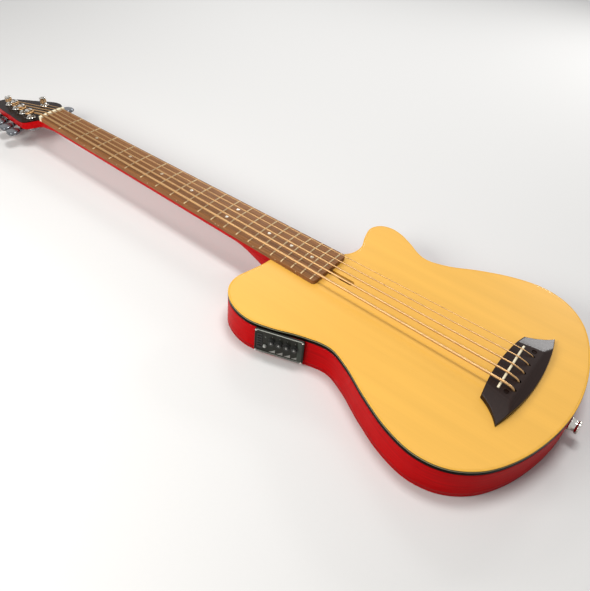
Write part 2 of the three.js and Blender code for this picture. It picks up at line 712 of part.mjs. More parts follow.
function makeNeck() {
  const heelStations = Array.from({ length: HEEL_STEPS + 1 }, (_, step) => (
    heelStartX + (step / HEEL_STEPS) * (JOINT_X - SEAT - heelStartX)
  ));
  const shaft = skin([neckStartX, NUT_X + HEAD_ROOT, ...heelStations].map(neckRing));
  const rootHalf = boardHalfWidth(neckStartX) - SEAT;
  const slabOutline = [...headOutline(0), [HEAD_ROOT, rootHalf], [HEAD_ROOT, -rootHalf]];
  const slab = cutAway(upright(slabOutline, headBack, headWoodTop), postHoles()).applyMatrix4(head.matrix);
  const tenon = box(
    [JOINT_X - TENON_ROOT, -TENON_WIDTH / 2, NECK_TOP - TENON_TOP_BELOW_BOARD - TENON_DEPTH],
    [JOINT_X + TENON_LENGTH, TENON_WIDTH / 2, NECK_TOP - TENON_TOP_BELOW_BOARD],
  );
  const aboveTop = box(
    [neckStartX, -HEAD_HALF_WIDTH, NECK_TOP],
    [neckStartX + HEAD_ROOT + HEAD_WOOD, HEAD_HALF_WIDTH, BOARD_TOP + HEAD_WOOD],
  );
  const rodGroove = box(
    [NUT_X + ROD_FROM_NUT - SEAT, -ROD_RADIUS - SEAT, ROD_Z - ROD_RADIUS - SEAT],
    [JOINT_X + TENON_LENGTH + CUT, ROD_RADIUS + SEAT, NECK_TOP + CUT],
  );
  place('neck', cutAway(joined([shaft, slab, tenon]), [aboveTop, rodGroove]), material.redMahogany);
  const plate = cutAway(upright(headOutline(2 * SEAT), -HEAD_PLATE_THICKNESS, 0), postHoles());
  place('head_plate', plate, material.darkWood, head);
}

// Truss rod and its adjusting nut, which a hex key reaches through the slot in the soundboard
function makeTrussRod() {
  const rod = bar(ROD_RADIUS, [NUT_X + ROD_FROM_NUT, 0, ROD_Z], [ROD_END_X, 0, ROD_Z], SMALL_SIDES);
  place('truss_rod', rod, material.steel);
  const bore = ROD_RADIUS + RUN;
  const socketFloor = ROD_NUT_LENGTH - ROD_NUT_SOCKET_DEPTH;
  const nut = turned([
    [bore, 0], [ROD_NUT_RADIUS, 0], [ROD_NUT_RADIUS, ROD_NUT_LENGTH],
    [ROD_NUT_SOCKET_RADIUS, ROD_NUT_LENGTH],
    [ROD_NUT_SOCKET_RADIUS, socketFloor], [0, socketFloor],
    [0, ROD_NUT_GRIP], [bore, ROD_NUT_GRIP], [bore, 0],
  ], SMALL_SIDES);
  nut.rotateY(Math.PI / 2);
  const mesh = place('truss_rod_nut', nut, material.brass);
  mesh.position.set(ROD_END_X - ROD_NUT_GRIP + SEAT, 0, ROD_Z);
}

// Fingerboard with its frets
function boardRing(x, half) {
  const top = Array.from({ length: BOARD_FACETS + 1 }, (_, step) => {
    const y = half - (2 * half * step) / BOARD_FACETS;
    return new THREE.Vector3(x, y, BOARD_TOP - camber(y));
  });
  return [new THREE.Vector3(x, -half, BOARD_BOTTOM), new THREE.Vector3(x, half, BOARD_BOTTOM), ...top];
}

function fret(x) {
  const half = boardHalfWidth(x) - FRET_END_INSET;
  const rings = Array.from({ length: FRET_FACETS + 1 }, (_, step) => {
    const y = half - (2 * half * step) / FRET_FACETS;
    const base = BOARD_TOP - camber(y);
    return [
      [-FRET_WIDTH / 2, -FRET_TANG], [FRET_WIDTH / 2, -FRET_TANG],
      [FRET_TOP_WIDTH / 2, FRET_HEIGHT], [-FRET_TOP_WIDTH / 2, FRET_HEIGHT],
    ].map(([along, up]) => new THREE.Vector3(x + along, y, base + up));
  });
  return skin(rings);
}

function makeFingerboard() {
  const corner = Array.from({ length: BOARD_CORNER_STEPS + 1 }, (_, step) => {
    const angle = (Math.PI / 2) * (step / BOARD_CORNER_STEPS);
    const x = BOARD_END_X - BOARD_CORNER + BOARD_CORNER * Math.sin(angle);
    return boardRing(x, boardHalfWidth(x) - BOARD_CORNER + BOARD_CORNER * Math.cos(angle));
  });
  const board = skin([boardRing(NUT_X, boardHalfWidth(NUT_X)), ...corner]);
  const frets = Array.from({ length: FRET_COUNT }, (_, index) => fret(fretX(index + 1)));
  place('fingerboard', joined([board, ...frets]), material.rosewood);
}

// Strings: where each crosses the nut and the saddle
const strings = STRINGS.map((string, index) => {
  const across = index / (STRINGS.length - 1) - 1 / 2;
  return {
    ...string,
    radius: string.diameter / 2,
    nutY: across * NUT_STRING_SPREAD,
    saddleY: across * SADDLE_STRING_SPREAD,
    post: postPlaces[index],
  };
});

function saddleX(y) {
  return SADDLE_X + SADDLE_COMPENSATION - (SADDLE_SLANT * y) / SADDLE_LENGTH;
}

const nutRearX = NUT_X - SEAT - NUT_THICKNESS;
const bridgeBottom = BODY_DEPTH + SEAT;
const bridgeTop = bridgeBottom + BRIDGE_THICKNESS;
const slotFloor = bridgeTop - SADDLE_SLOT_DEPTH;

function nutSlotFloor(y) {
  return FRET_PLANE + NUT_SLOT_ABOVE_FRETS - camber(y);
}

function saddleTop(y) {
  return FRET_PLANE + SADDLE_ABOVE_FRETS - camber(y);
}

// A string's bend over the saddle, the mouth of its hole in the bridge and its end in the hole.
function bridgePoints({ saddleY, radius }) {
  const lift = SEAT + radius;
  const bendX = saddleX(saddleY) + SADDLE_THICKNESS / 2;
  const bend = new THREE.Vector3(bendX, saddleY, saddleTop(saddleY) + lift);
  const mouth = new THREE.Vector3(bendX + STRING_HOLE_BEHIND_SADDLE, saddleY, bridgeTop + lift);
  const slope = THREE.MathUtils.degToRad(STRING_HOLE_ANGLE);
  const run = new THREE.Vector3(Math.cos(slope), 0, -Math.sin(slope));
  return { bend, mouth, run, end: mouth.clone().addScaledVector(run, STRING_HOLE_LENGTH) };
}

// The route of a string from the bridge to its post and round the post.
function stringRoute(string) {
  const { bend, mouth, end } = bridgePoints(string);
  const overNut = new THREE.Vector3(nutRearX, string.nutY, nutSlotFloor(string.nutY) + SEAT + string.radius);
  const toHead = head.matrix.clone().invert();
  const start = overNut.clone().applyMatrix4(toHead);
  const { x, y, side } = string.post;
  const windingRadius = POST_WAIST_RADIUS + SEAT + string.radius;
  const away = Math.hypot(start.x - x, start.y - y);
  const first = Math.atan2(start.y - y, start.x - x) + side * Math.acos(windingRadius / away);
  const low = BUSHING_HEIGHT + SEAT + POST_FLANGE_HEIGHT + LOWEST_TURN_LIFT + string.radius;
  const rise = (string.diameter + TURN_GAP) * string.turns;
  const steps = Math.round(string.turns * STEPS_PER_TURN);
  const winding = Array.from({ length: steps + 1 }, (_, step) => {
    const angle = first + (side * 2 * Math.PI * step) / STEPS_PER_TURN;
    const out = new THREE.Vector3(Math.cos(angle), Math.sin(angle), 0).multiplyScalar(windingRadius);
    return out.add(new THREE.Vector3(x, y, low + (rise * step) / steps));
  });
  const last = winding[steps];
  const leaving = last.clone().sub(winding[steps - 1]).setZ(0).normalize();
  winding.push(last.clone().addScaledVector(leaving, string.diameter));
  return {
    path: [end, mouth, bend, overNut, ...winding.map((point) => point.applyMatrix4(head.matrix))],
    wound: winding.length,
    loop: Math.PI * windingRadius,
  };
}

// The least distance between a wound string's surfaces, measured on points along it.
function leastGap({ path, wound, loop }, diameter) {
  const near = path.slice(-wound - 1);
  const points = [];
  let travelled = 0;
  for (let index = 0; index + 1 < near.length; index += 1) {
    const length = near[index].distanceTo(near[index + 1]);
    const steps = Math.ceil(length / GAP_TEST_STEP);
    for (let step = 0; step < steps; step += 1) {
      const point = near[index].clone().lerp(near[index + 1], step / steps);
      points.push({ point, at: travelled + (length * step) / steps });
    }
    travelled += length;
  }
  let least = Infinity;
  points.forEach(({ point, at }, index) => {
    points.slice(index + 1).forEach((other) => {
      if (other.at - at > loop) least = Math.min(least, point.distanceTo(other.point) - diameter);
    });
  });
  return least;
}

function makeStrings() {
  strings.forEach((string, index) => {
    const route = stringRoute(string);
    place(`string_${index + 1}`, tube(route.path, string.radius), material.bronze);
    const gap = leastGap(route, string.diameter);
    console.log(`string_${index + 1}: least gap between its turns ${gap.toFixed(2)} mm`);
  });
}

// Nut with a slot for each string
function makeNut() {
  const low = NECK_TOP + SEAT;
  const blank = box(
    [nutRearX, -NUT_WIDTH / 2, low],
    [NUT_X - SEAT, NUT_WIDTH / 2, FRET_PLANE + NUT_ABOVE_FRETS],
  );
  const slots = strings.map(({ nutY, radius }) => box(
    [nutRearX - CUT, nutY - radius - SLOT_CLEARANCE, nutSlotFloor(nutY)],
    [NUT_X + CUT, nutY + radius + SLOT_CLEARANCE, FRET_PLANE + NUT_ABOVE_FRETS + CUT],
  ));
  place('nut', cutAway(blank, slots), material.bone);
}

// A bar along the saddle's slanting line, its top following a height of y.
function saddleBar(halfThickness, halfLength, low, topAt) {
  const rings = Array.from({ length: SADDLE_STEPS + 1 }, (_, step) => {
    const y = -halfLength + (2 * halfLength * step) / SADDLE_STEPS;
    const x = saddleX(y);
    const high = topAt(y);
    return [
      [x - halfThickness, low], [x + halfThickness, low],
      [x + halfThickness, high], [x - halfThickness, high],
    ].map(([px, pz]) => new THREE.Vector3(px, y, pz));
  });
  return skin(rings);
}

function makeSaddle() {
  const half = SADDLE_LENGTH / 2;
  const pickupLow = slotFloor + SEAT;
  const pickupHigh = pickupLow + PICKUP_THICKNESS;
  const thick = SADDLE_THICKNESS / 2;
  place('saddle', saddleBar(thick, half, pickupHigh + SEAT, saddleTop), material.bone);
  place('saddle_pickup', saddleBar(thick, half, pickupLow, () => pickupHigh), material.brass);
}

// Bridge outline: bulged front edge, hollow ends, bowed rear edge and two swept-back tips
function bridgeOutline() {
  const middle = SADDLE_X + SADDLE_COMPENSATION;
  const front = middle - BRIDGE_FRONT_TO_SADDLE;
  const frontCorner = front + BRIDGE_FRONT_BULGE;
  const rear = middle + BRIDGE_SADDLE_TO_REAR;
  const tip = rear - BRIDGE_TIP_TO_REAR;
  const hollowX = (frontCorner + tip) / 2 + BRIDGE_END_HOLLOW;
  const hollowY = (BRIDGE_FRONT_HALF + BRIDGE_HALF_LENGTH) / 2 - BRIDGE_END_HOLLOW;
  const shape = new THREE.Shape();
  shape.moveTo(frontCorner, BRIDGE_FRONT_HALF);
  shape.quadraticCurveTo(2 * front - frontCorner, 0, frontCorner, -BRIDGE_FRONT_HALF);
  shape.quadraticCurveTo(hollowX, -hollowY, tip, -BRIDGE_HALF_LENGTH);
  shape.quadraticCurveTo(2 * rear - tip, 0, tip, BRIDGE_HALF_LENGTH);
  shape.quadraticCurveTo(hollowX, hollowY, frontCorner, BRIDGE_FRONT_HALF);
  return shape.getPoints(BRIDGE_EDGE_STEPS).slice(0, -1).map(({ x, y }) => [x, y]);
}

// A wedge that lowers the top on the far side of a line, by a drop over a run.
function slopeCutter(point, direction, drop, run) {
  const size = 2 * BRIDGE_HALF_LENGTH;
  const geometry = box([0, -size, 0], [size, size, size]);
  geometry.rotateY(Math.atan2(drop, run));
  geometry.rotateZ(direction);
  return geometry.translate(...point);
}

function makeBridge() {
  const middle = SADDLE_X + SADDLE_COMPENSATION;
  const blank = upright(bridgeOutline(), bridgeBottom, bridgeTop);
  const skew = Math.atan2(BRIDGE_WING_SKEW, BRIDGE_FRONT_TO_SADDLE + BRIDGE_SADDLE_TO_REAR);
  const wingDrop = BRIDGE_THICKNESS - BRIDGE_TIP_THICKNESS;
  const wingRun = BRIDGE_HALF_LENGTH - BRIDGE_WING_FROM - BRIDGE_WING_SKEW;
  const wings = [-1, 1].map((side) => slopeCutter(
    [middle, side * BRIDGE_WING_FROM, bridgeTop],
    side * (Math.PI / 2 + skew),
    wingDrop,
    wingRun,
  ));
  const bevelX = middle + BRIDGE_SADDLE_TO_REAR - BRIDGE_BEVEL_LENGTH;
  const bevel = slopeCutter([bevelX, 0, bridgeTop], 0, BRIDGE_BEVEL_DROP, BRIDGE_BEVEL_LENGTH);
  const slot = saddleBar(
    SADDLE_THICKNESS / 2 + SEAT,
    SADDLE_LENGTH / 2 + SEAT,
    slotFloor,
    () => bridgeTop + CUT,
  );
  const holes = strings.map((string) => {
    const { mouth, end, run } = bridgePoints(string);
    const from = mouth.clone().addScaledVector(run, -STRING_HOLE_LENGTH / 2);
    const to = end.clone().addScaledVector(run, CUT);
    return bar(string.radius + 2 * SEAT, from.toArray(), to.toArray(), SMALL_SIDES);
  });
  const dots = [-1, 1].map((side) => {
    const x = middle + BRIDGE_DOT_BEHIND_SADDLE;
    const y = (side * BRIDGE_DOT_SPREAD) / 2;
    return bar(BRIDGE_DOT_RADIUS, [x, y, bridgeTop - BRIDGE_DOT_DEPTH], [x, y, bridgeTop + CUT], SMALL_SIDES);
  });
  place('bridge', cutAway(blank, [...wings, bevel, slot, ...holes, ...dots]), material.darkWood);
}

// Tuners: plate and ears under the headstock, bushing in its face, post with gear, worm with key
const platesTop = headBack - SEAT;
const platesLow = platesTop - TUNER_PLATE_THICKNESS;
const gearTop = platesLow - SEAT;
const gearLow = gearTop - GEAR_THICKNESS;
const shaftZ = (gearTop + gearLow) / 2;
const wormX = -GEAR_RADIUS - SEAT - WORM_RADIUS;
const earFrom = WORM_LENGTH / 2 + SEAT;

function tunerPlate() {
  const plate = box(
    [-TUNER_PLATE_FRONT, -TUNER_PLATE_HALF_WIDTH, platesLow],
    [TUNER_PLATE_REAR, TUNER_PLATE_HALF_WIDTH, platesTop],
  );
  const ears = [-1, 1].map((side) => {
    const near = side * earFrom;
    const far = side * (earFrom + EAR_THICKNESS);
    return box(
      [wormX - EAR_HALF_WIDTH, Math.min(near, far), shaftZ - EAR_BELOW_SHAFT],
      [wormX + EAR_HALF_WIDTH, Math.max(near, far), platesTop],
    );
  });
  const reach = earFrom + EAR_THICKNESS + CUT;
  const shaftHole = bar(KEY_SHAFT_RADIUS + RUN, [wormX, -reach, shaftZ], [wormX, reach, shaftZ], SMALL_SIDES);
  const postHole = bar(POST_RADIUS + RUN, [0, 0, platesLow - CUT], [0, 0, platesTop + CUT], SMALL_SIDES);
  const wormWindow = box(
    [wormX - WORM_RADIUS - SEAT, -earFrom, platesLow - CUT],
    [wormX + WORM_RADIUS + SEAT, earFrom, platesTop + CUT],
  );
  return cutAway(joined([cutAway(plate, [wormWindow]), ...ears]), [shaftHole, postHole]);
}

function tunerBushing() {
  const bore = POST_RADIUS + RUN;
  return turned([
    [bore, -BUSHING_SLEEVE_LENGTH], [BUSHING_SLEEVE_RADIUS, -BUSHING_SLEEVE_LENGTH],
    [BUSHING_SLEEVE_RADIUS, SEAT], [BUSHING_RADIUS, SEAT], [BUSHING_RADIUS, BUSHING_HEIGHT - RUN],
    [BUSHING_RADIUS - BUSHING_HEIGHT / 2, BUSHING_HEIGHT], [bore, BUSHING_HEIGHT],
    [bore, -BUSHING_SLEEVE_LENGTH],
  ], SMALL_SIDES);
}

function tunerPost() {
  const flangeLow = BUSHING_HEIGHT + SEAT;
  const waistLow = flangeLow + POST_FLANGE_HEIGHT;
  const waistHigh = POST_HEIGHT - POST_HEAD_HEIGHT;
  const post = turned([
    [0, gearLow], [POST_RADIUS, gearLow], [POST_RADIUS, flangeLow], [POST_FLANGE_RADIUS, flangeLow],
    [POST_FLANGE_RADIUS, waistLow], [POST_WAIST_RADIUS, waistLow], [POST_WAIST_RADIUS, waistHigh],
    [POST_FLANGE_RADIUS, waistHigh + POST_HEAD_HEIGHT / 2],
    [POST_FLANGE_RADIUS, POST_HEIGHT], [0, POST_HEIGHT],
  ], SMALL_SIDES);
  const teeth = Array.from({ length: 2 * GEAR_TEETH }, (_, index) => {
    const radius = index % 2 ? GEAR_RADIUS - GEAR_TOOTH : GEAR_RADIUS;
    const angle = (Math.PI * index) / GEAR_TEETH;
    return [radius * Math.cos(angle), radius * Math.sin(angle)];
  });
  const slot = box(
    [-POST_FLANGE_RADIUS - CUT, -POST_SLOT_WIDTH / 2, POST_HEIGHT - POST_SLOT_DEPTH],
    [POST_FLANGE_RADIUS + CUT, POST_SLOT_WIDTH / 2, POST_HEIGHT + CUT],
  );
  return cutAway(joined([post, upright(teeth, gearLow, gearTop)]), [slot]);
}

// The key lies along Z here, with its worm's middle at the origin.
function tunerKey() {
  const halfWorm = WORM_LENGTH / 2;
  const shaftEnd = earFrom + EAR_THICKNESS + CUT;
  const shaft = turned([
    [0, -shaftEnd], [KEY_SHAFT_RADIUS, -shaftEnd],
    [KEY_SHAFT_RADIUS, -halfWorm], [WORM_RADIUS, -halfWorm], [WORM_RADIUS, halfWorm],
    [KEY_SHAFT_RADIUS, halfWorm], [KEY_SHAFT_RADIUS, KEY_REACH - KEY_COLLAR_LENGTH],
    [KEY_COLLAR_RADIUS, KEY_REACH - KEY_COLLAR_LENGTH], [KEY_COLLAR_RADIUS, KEY_REACH + KEY_EDGE],
    [0, KEY_REACH + KEY_EDGE],
  ], SMALL_SIDES);
  const outline = keyShares.map(([out, along]) => new THREE.Vector2(
    (out * KEY_WIDTH) / 2,
    KEY_REACH + along * KEY_LENGTH,
  ));
  const paddle = new THREE.ExtrudeGeometry(new THREE.Shape(outline), {
    depth: KEY_THICKNESS - 2 * KEY_EDGE,
    bevelThickness: KEY_EDGE,
    bevelSize: KEY_EDGE,
    bevelOffset: -KEY_EDGE,
    bevelSegments: 1,
  });
  paddle.translate(0, 0, KEY_EDGE - KEY_THICKNESS / 2).rotateX(Math.PI / 2);
  return joined([shaft, paddle]);
}

// Half width and length shares of a key's paddle, anticlockwise from its root.
const keyShares = [
  [0.30, 0.00], [0.72, 0.10], [0.96, 0.34], [1.00, 0.62], [0.86, 0.88], [0.50, 1.00],
  [-0.50, 1.00], [-0.86, 0.88], [-1.00, 0.62], [-0.96, 0.34], [-0.72, 0.10], [-0.30, 0.00],
];

function makeTuners() {
  postPlaces.forEach(({ x, y, turn }, index) => {
    const tuner = new THREE.Group();
    tuner.position.set(x, y, 0);
    tuner.rotation.z = turn;
    head.add(tuner);
    const number = index + 1;
    place(`tuner_plate_${number}`, tunerPlate(), material.chrome, tuner);
    place(`tuner_bushing_${number}`, tunerBushing(), material.chrome, tuner);
    place(`tuner_post_${number}`, tunerPost(), material.chrome, tuner);
    const key = place(`tuner_key_${number}`, tunerKey(), material.chrome, tuner);
    key.position.set(wormX, 0, shaftZ);
    key.rotation.x = Math.PI / 2;
  });
}

// Preamp: in its own group X runs along the side, -Y points out of the body
function makePreamp() {
  instrument.add(preamp);
  const faceBack = preampFront;
  const faceFront = faceBack - PREAMP_FACE;
  const halfLength = PREAMP_LENGTH / 2;
  const halfHeight = PREAMP_HEIGHT / 2;
  const knobPlaces = Array.from({ length: KNOB_COUNT }, (_, index) => KNOB_FIRST + index * KNOB_PITCH);
  const face = crosswise([
    [-halfLength + PREAMP_CORNER, -halfHeight], [halfLength - PREAMP_CORNER, -halfHeight],
    [halfLength, -halfHeight + PREAMP_CORNER], [halfLength, halfHeight - PREAMP_CORNER],
    [halfLength - PREAMP_CORNER, halfHeight], [-halfLength + PREAMP_CORNER, halfHeight],
    [-halfLength, halfHeight - PREAMP_CORNER], [-halfLength, -halfHeight + PREAMP_CORNER],
  ], faceFront, faceBack);
  const shaftHoles = knobPlaces.map((x) => bar(
    KNOB_SHAFT_RADIUS + SEAT,
    [x, faceFront - CUT, KNOB_LEVEL],
    [x, faceBack + CUT, KNOB_LEVEL],
    SMALL_SIDES,
  ));
  const buttonHole = bar(
    BUTTON_RADIUS + RUN,
    [BUTTON_PLACE, faceFront - CUT, BUTTON_LEVEL],
    [BUTTON_PLACE, faceBack + CUT, BUTTON_LEVEL],
    SMALL_SIDES,
  );
  const traySlot = box(
    [TRAY_PLACE - TRAY_FRONT_WIDTH / 2 - SEAT, faceFront - CUT, -TRAY_FRONT_HEIGHT / 2 - SEAT],
    [TRAY_PLACE + TRAY_FRONT_WIDTH / 2 + SEAT, faceBack + CUT, TRAY_FRONT_HEIGHT / 2 + SEAT],
  );
  const openFace = cutAway(face, [...shaftHoles, buttonHole, traySlot]);
  place('preamp_face', openFace, material.charcoal, preamp);

  const across = PREAMP_BOX_LENGTH / 2;
  const up = PREAMP_BOX_HEIGHT / 2;
  const boxFront = faceBack + SEAT;
  const boxBack = boxFront + PREAMP_BOX_DEPTH - SEAT;
  const shell = box([-across, boxFront, -up], [across, boxBack, up]);
  const hollow = box(
    [-across + PREAMP_WALL, boxFront - CUT, -up + PREAMP_WALL],
    [across - PREAMP_WALL, boxBack - PREAMP_WALL, up - PREAMP_WALL],
  );
  place('preamp_housing', cutAway(shell, [hollow]), material.blackPlastic, preamp);

  knobPlaces.forEach((x, index) => {
    const knob = turned([
      [0, -KNOB_SHAFT_LENGTH], [KNOB_SHAFT_RADIUS, -KNOB_SHAFT_LENGTH], [KNOB_SHAFT_RADIUS, SEAT],
      [KNOB_RADIUS, SEAT], [KNOB_RADIUS, KNOB_HEIGHT - KNOB_CHAMFER],
      [KNOB_RADIUS - KNOB_CHAMFER, KNOB_HEIGHT], [0, KNOB_HEIGHT],
    ], SMALL_SIDES);
    const pointer = box(
      [-KNOB_SLOT_WIDTH / 2, 0, KNOB_HEIGHT - KNOB_SLOT_WIDTH],
      [KNOB_SLOT_WIDTH / 2, KNOB_RADIUS + CUT, KNOB_HEIGHT + CUT],
    );
    const mesh = place(`preamp_knob_${index + 1}`, cutAway(knob, [pointer]), material.blackPlastic, preamp);
    mesh.rotation.x = Math.PI / 2;
    mesh.position.set(x, faceFront, KNOB_LEVEL);
  });

  const button = turned([
    [0, BUTTON_PROUD - BUTTON_LENGTH], [BUTTON_RADIUS + SEAT * 2, BUTTON_PROUD - BUTTON_LENGTH],
    [BUTTON_RADIUS + SEAT * 2, -PREAMP_FACE - SEAT], [BUTTON_RADIUS, -PREAMP_FACE - SEAT],
    [BUTTON_RADIUS, BUTTON_PROUD], [0, BUTTON_PROUD],
  ], SMALL_SIDES);
  const buttonMesh = place('preamp_button', button, material.blackPlastic, preamp);
  buttonMesh.rotation.x = Math.PI / 2;
  buttonMesh.position.set(BUTTON_PLACE, faceFront, BUTTON_LEVEL);
  makeTray(faceFront, faceBack);
}

// The tray that slides out of the preamp with its coin cell
function makeTray(faceFront, faceBack) {
  const front = box(
    [TRAY_PLACE - TRAY_FRONT_WIDTH / 2, faceFront, -TRAY_FRONT_HEIGHT / 2],
    [TRAY_PLACE + TRAY_FRONT_WIDTH / 2, faceBack, TRAY_FRONT_HEIGHT / 2],
  );
  const ridgePitch = TRAY_FRONT_HEIGHT / (TRAY_RIDGES + 1);
  const ridges = Array.from({ length: TRAY_RIDGES }, (_, index) => {
    const z = -TRAY_FRONT_HEIGHT / 2 + (index + 1) * ridgePitch;
    return box(
      [TRAY_PLACE - TRAY_WIDTH / 2, faceFront - TRAY_RIDGE_HEIGHT, z - TRAY_RIDGE_HEIGHT / 2],
      [TRAY_PLACE + TRAY_WIDTH / 2, faceBack, z + TRAY_RIDGE_HEIGHT / 2],
    );
  });
  const body = box(
    [TRAY_PLACE - TRAY_WIDTH / 2, faceFront, -TRAY_HEIGHT / 2],
    [TRAY_PLACE + TRAY_WIDTH / 2, faceBack + TRAY_DEPTH, TRAY_HEIGHT / 2],
  );
  const cellY = faceBack + TRAY_DEPTH / 2;
  const pocketFloor = TRAY_PLACE - TRAY_WIDTH / 2 + PREAMP_WALL;
  const pocket = bar(
    CELL_RADIUS + 2 * SEAT,
    [pocketFloor, cellY, 0],
    [TRAY_PLACE + TRAY_WIDTH, cellY, 0],
  );
  place('battery_tray', cutAway(joined([front, body, ...ridges]), [pocket]), material.blackPlastic, preamp);
  const cell = bar(
    CELL_RADIUS,
    [pocketFloor + SEAT, cellY, 0],
    [pocketFloor + SEAT + CELL_THICKNESS, cellY, 0],
  );
  place('coin_cell', cell, material.steel, preamp);
}

// End pin: output jack through the tail block, with the strap ring round its outer end
function makeEndPin() {
  const wall = [TAIL_X, 0, pinZ];
  const barrelLow = PIN_PROUD - PIN_BARREL_LENGTH;
  const barrel = turned([
    [0, barrelLow], [PIN_BARREL_RADIUS, barrelLow], [PIN_BARREL_RADIUS, PIN_PROUD],
    [PIN_SOCKET_RADIUS, PIN_PROUD], [PIN_SOCKET_RADIUS, PIN_PROUD - PIN_SOCKET_DEPTH],
    [0, PIN_PROUD - PIN_SOCKET_DEPTH],
  ]);
  place('end_pin_jack', barrel.rotateY(Math.PI / 2).translate(...wall), material.chrome);
  const bore = PIN_BARREL_RADIUS + SEAT;
  const ring = turned([
    [bore, SEAT], [STRAP_RADIUS, SEAT], [STRAP_RADIUS, STRAP_LIP], [STRAP_WAIST_RADIUS, 2 * STRAP_LIP],
    [STRAP_WAIST_RADIUS, PIN_PROUD - 2 * STRAP_LIP], [STRAP_RADIUS, PIN_PROUD - STRAP_LIP],
    [STRAP_RADIUS, PIN_PROUD - SEAT], [bore, PIN_PROUD - SEAT], [bore, SEAT],
  ], PLAIN_SIDES);
  place('strap_ring', ring.rotateY(Math.PI / 2).translate(...wall), material.chrome);
}

makeSoundboard();
makeShell();
makeBlocks();
makeLinings();
makeBraces();
makeNeck();
makeTrussRod();
makeFingerboard();
makeNut();
makeBridge();
makeSaddle();
makeStrings();
makeTuners();
makePreamp();
makeEndPin();

export default instrument;
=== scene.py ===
import json
from math import pi, radians

import bmesh
import bpy
import numpy as np
from bpy.props import FloatProperty, FloatVectorProperty, IntProperty, PointerProperty
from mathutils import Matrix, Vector
from mathutils.geometry import tessellate_polygon


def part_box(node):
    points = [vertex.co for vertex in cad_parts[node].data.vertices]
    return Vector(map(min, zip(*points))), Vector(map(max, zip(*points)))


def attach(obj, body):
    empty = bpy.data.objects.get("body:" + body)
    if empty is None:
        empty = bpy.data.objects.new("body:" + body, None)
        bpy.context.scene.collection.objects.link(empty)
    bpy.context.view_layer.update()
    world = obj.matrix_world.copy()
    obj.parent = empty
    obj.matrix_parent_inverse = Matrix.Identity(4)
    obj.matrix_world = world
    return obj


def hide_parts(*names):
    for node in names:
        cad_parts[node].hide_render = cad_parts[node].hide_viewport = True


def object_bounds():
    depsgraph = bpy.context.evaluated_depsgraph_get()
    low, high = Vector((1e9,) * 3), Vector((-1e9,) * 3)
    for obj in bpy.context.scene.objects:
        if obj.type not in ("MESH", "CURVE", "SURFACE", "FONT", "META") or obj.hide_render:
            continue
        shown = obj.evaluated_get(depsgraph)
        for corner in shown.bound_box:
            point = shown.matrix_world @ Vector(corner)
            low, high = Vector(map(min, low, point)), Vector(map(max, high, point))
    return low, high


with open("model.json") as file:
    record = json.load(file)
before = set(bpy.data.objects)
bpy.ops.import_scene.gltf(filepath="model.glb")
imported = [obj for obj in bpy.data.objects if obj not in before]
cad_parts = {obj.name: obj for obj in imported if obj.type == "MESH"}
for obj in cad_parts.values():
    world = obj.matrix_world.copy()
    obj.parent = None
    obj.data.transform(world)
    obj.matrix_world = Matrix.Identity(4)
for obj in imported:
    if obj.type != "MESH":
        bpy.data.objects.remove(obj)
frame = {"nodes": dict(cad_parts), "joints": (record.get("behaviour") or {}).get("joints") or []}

bl_info = {
    "name": "Acoustic Bass Guitar Builder",
    "version": (1, 0, 0),
    "blender": (4, 5, 0),
    "location": "3D View > Sidebar > Bass",
    "description": "Builds and finishes a five-string acoustic bass guitar",
    "category": "Add Mesh",
}

CAD_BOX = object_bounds()
MM = 0.001
JOINTS = {joint["name"]: joint for joint in frame["joints"]}

# Scale and fingerboard
SCALE_LENGTH = 864
SADDLE_X = 132
NUT_X = SADDLE_X - SCALE_LENGTH
NUT_LENGTH = 5.8
FRET_COUNT = 20
NUT_WIDTH = 48.5
LAST_FRET_WIDTH = 75.5
BOARD_LOW = 51.3
BOARD_TOP = 58.5
BOARD_RADIUS = 500
BOARD_CORNER = 6
FRET_PLANE = BOARD_TOP + 1
FACE_DOT_FRETS = (3, 5, 7, 9, 15, 17, 19)
OCTAVE_FRET, OCTAVE_DOT_Y, OCTAVE_MARK_X = 12, 12.5, 3

# Body
BODY_LENGTH = 440
BODY_DEPTH = 51
UPPER_BOUT, WAIST, LOWER_BOUT = 289, 232, 356
TAIL_X = 220
SHOULDER_X = -220
JOINT_X = -209.5
JOINT_TREBLE_INSET = 5.2
BACK_THICKNESS = 3.5
TOP_THICKNESS = 3.5
SIDE_THICKNESS = 2.5
BINDING_WIDTH = 2.5
BINDING_HEIGHT = 7.8
SEAT = 0.3
ACCESS_WIDTH = 9.6
ACCESS_LENGTH = 39

# Neck and headstock
HEEL_LENGTH = 72
NECK_DEPTH, NECK_DEPTH_GAIN = 13.5, 3.5
TENON_HALF_WIDTH = 19
HEAD_TILT = radians(11.5)
HEAD_LENGTH = 170
HEAD_HALF_WIDTH = 46
HEAD_PLATE = 1.5
HEAD_WOOD_TOP = -1.8
HEAD_BACK = -14
HEAD_OUTLINE_POINTS = 220
BUSHING_HOLE_RADIUS = 6.6
NECK_START = NUT_X - (NUT_LENGTH + SEAT)
HEAD_Z = FRET_PLANE - 7

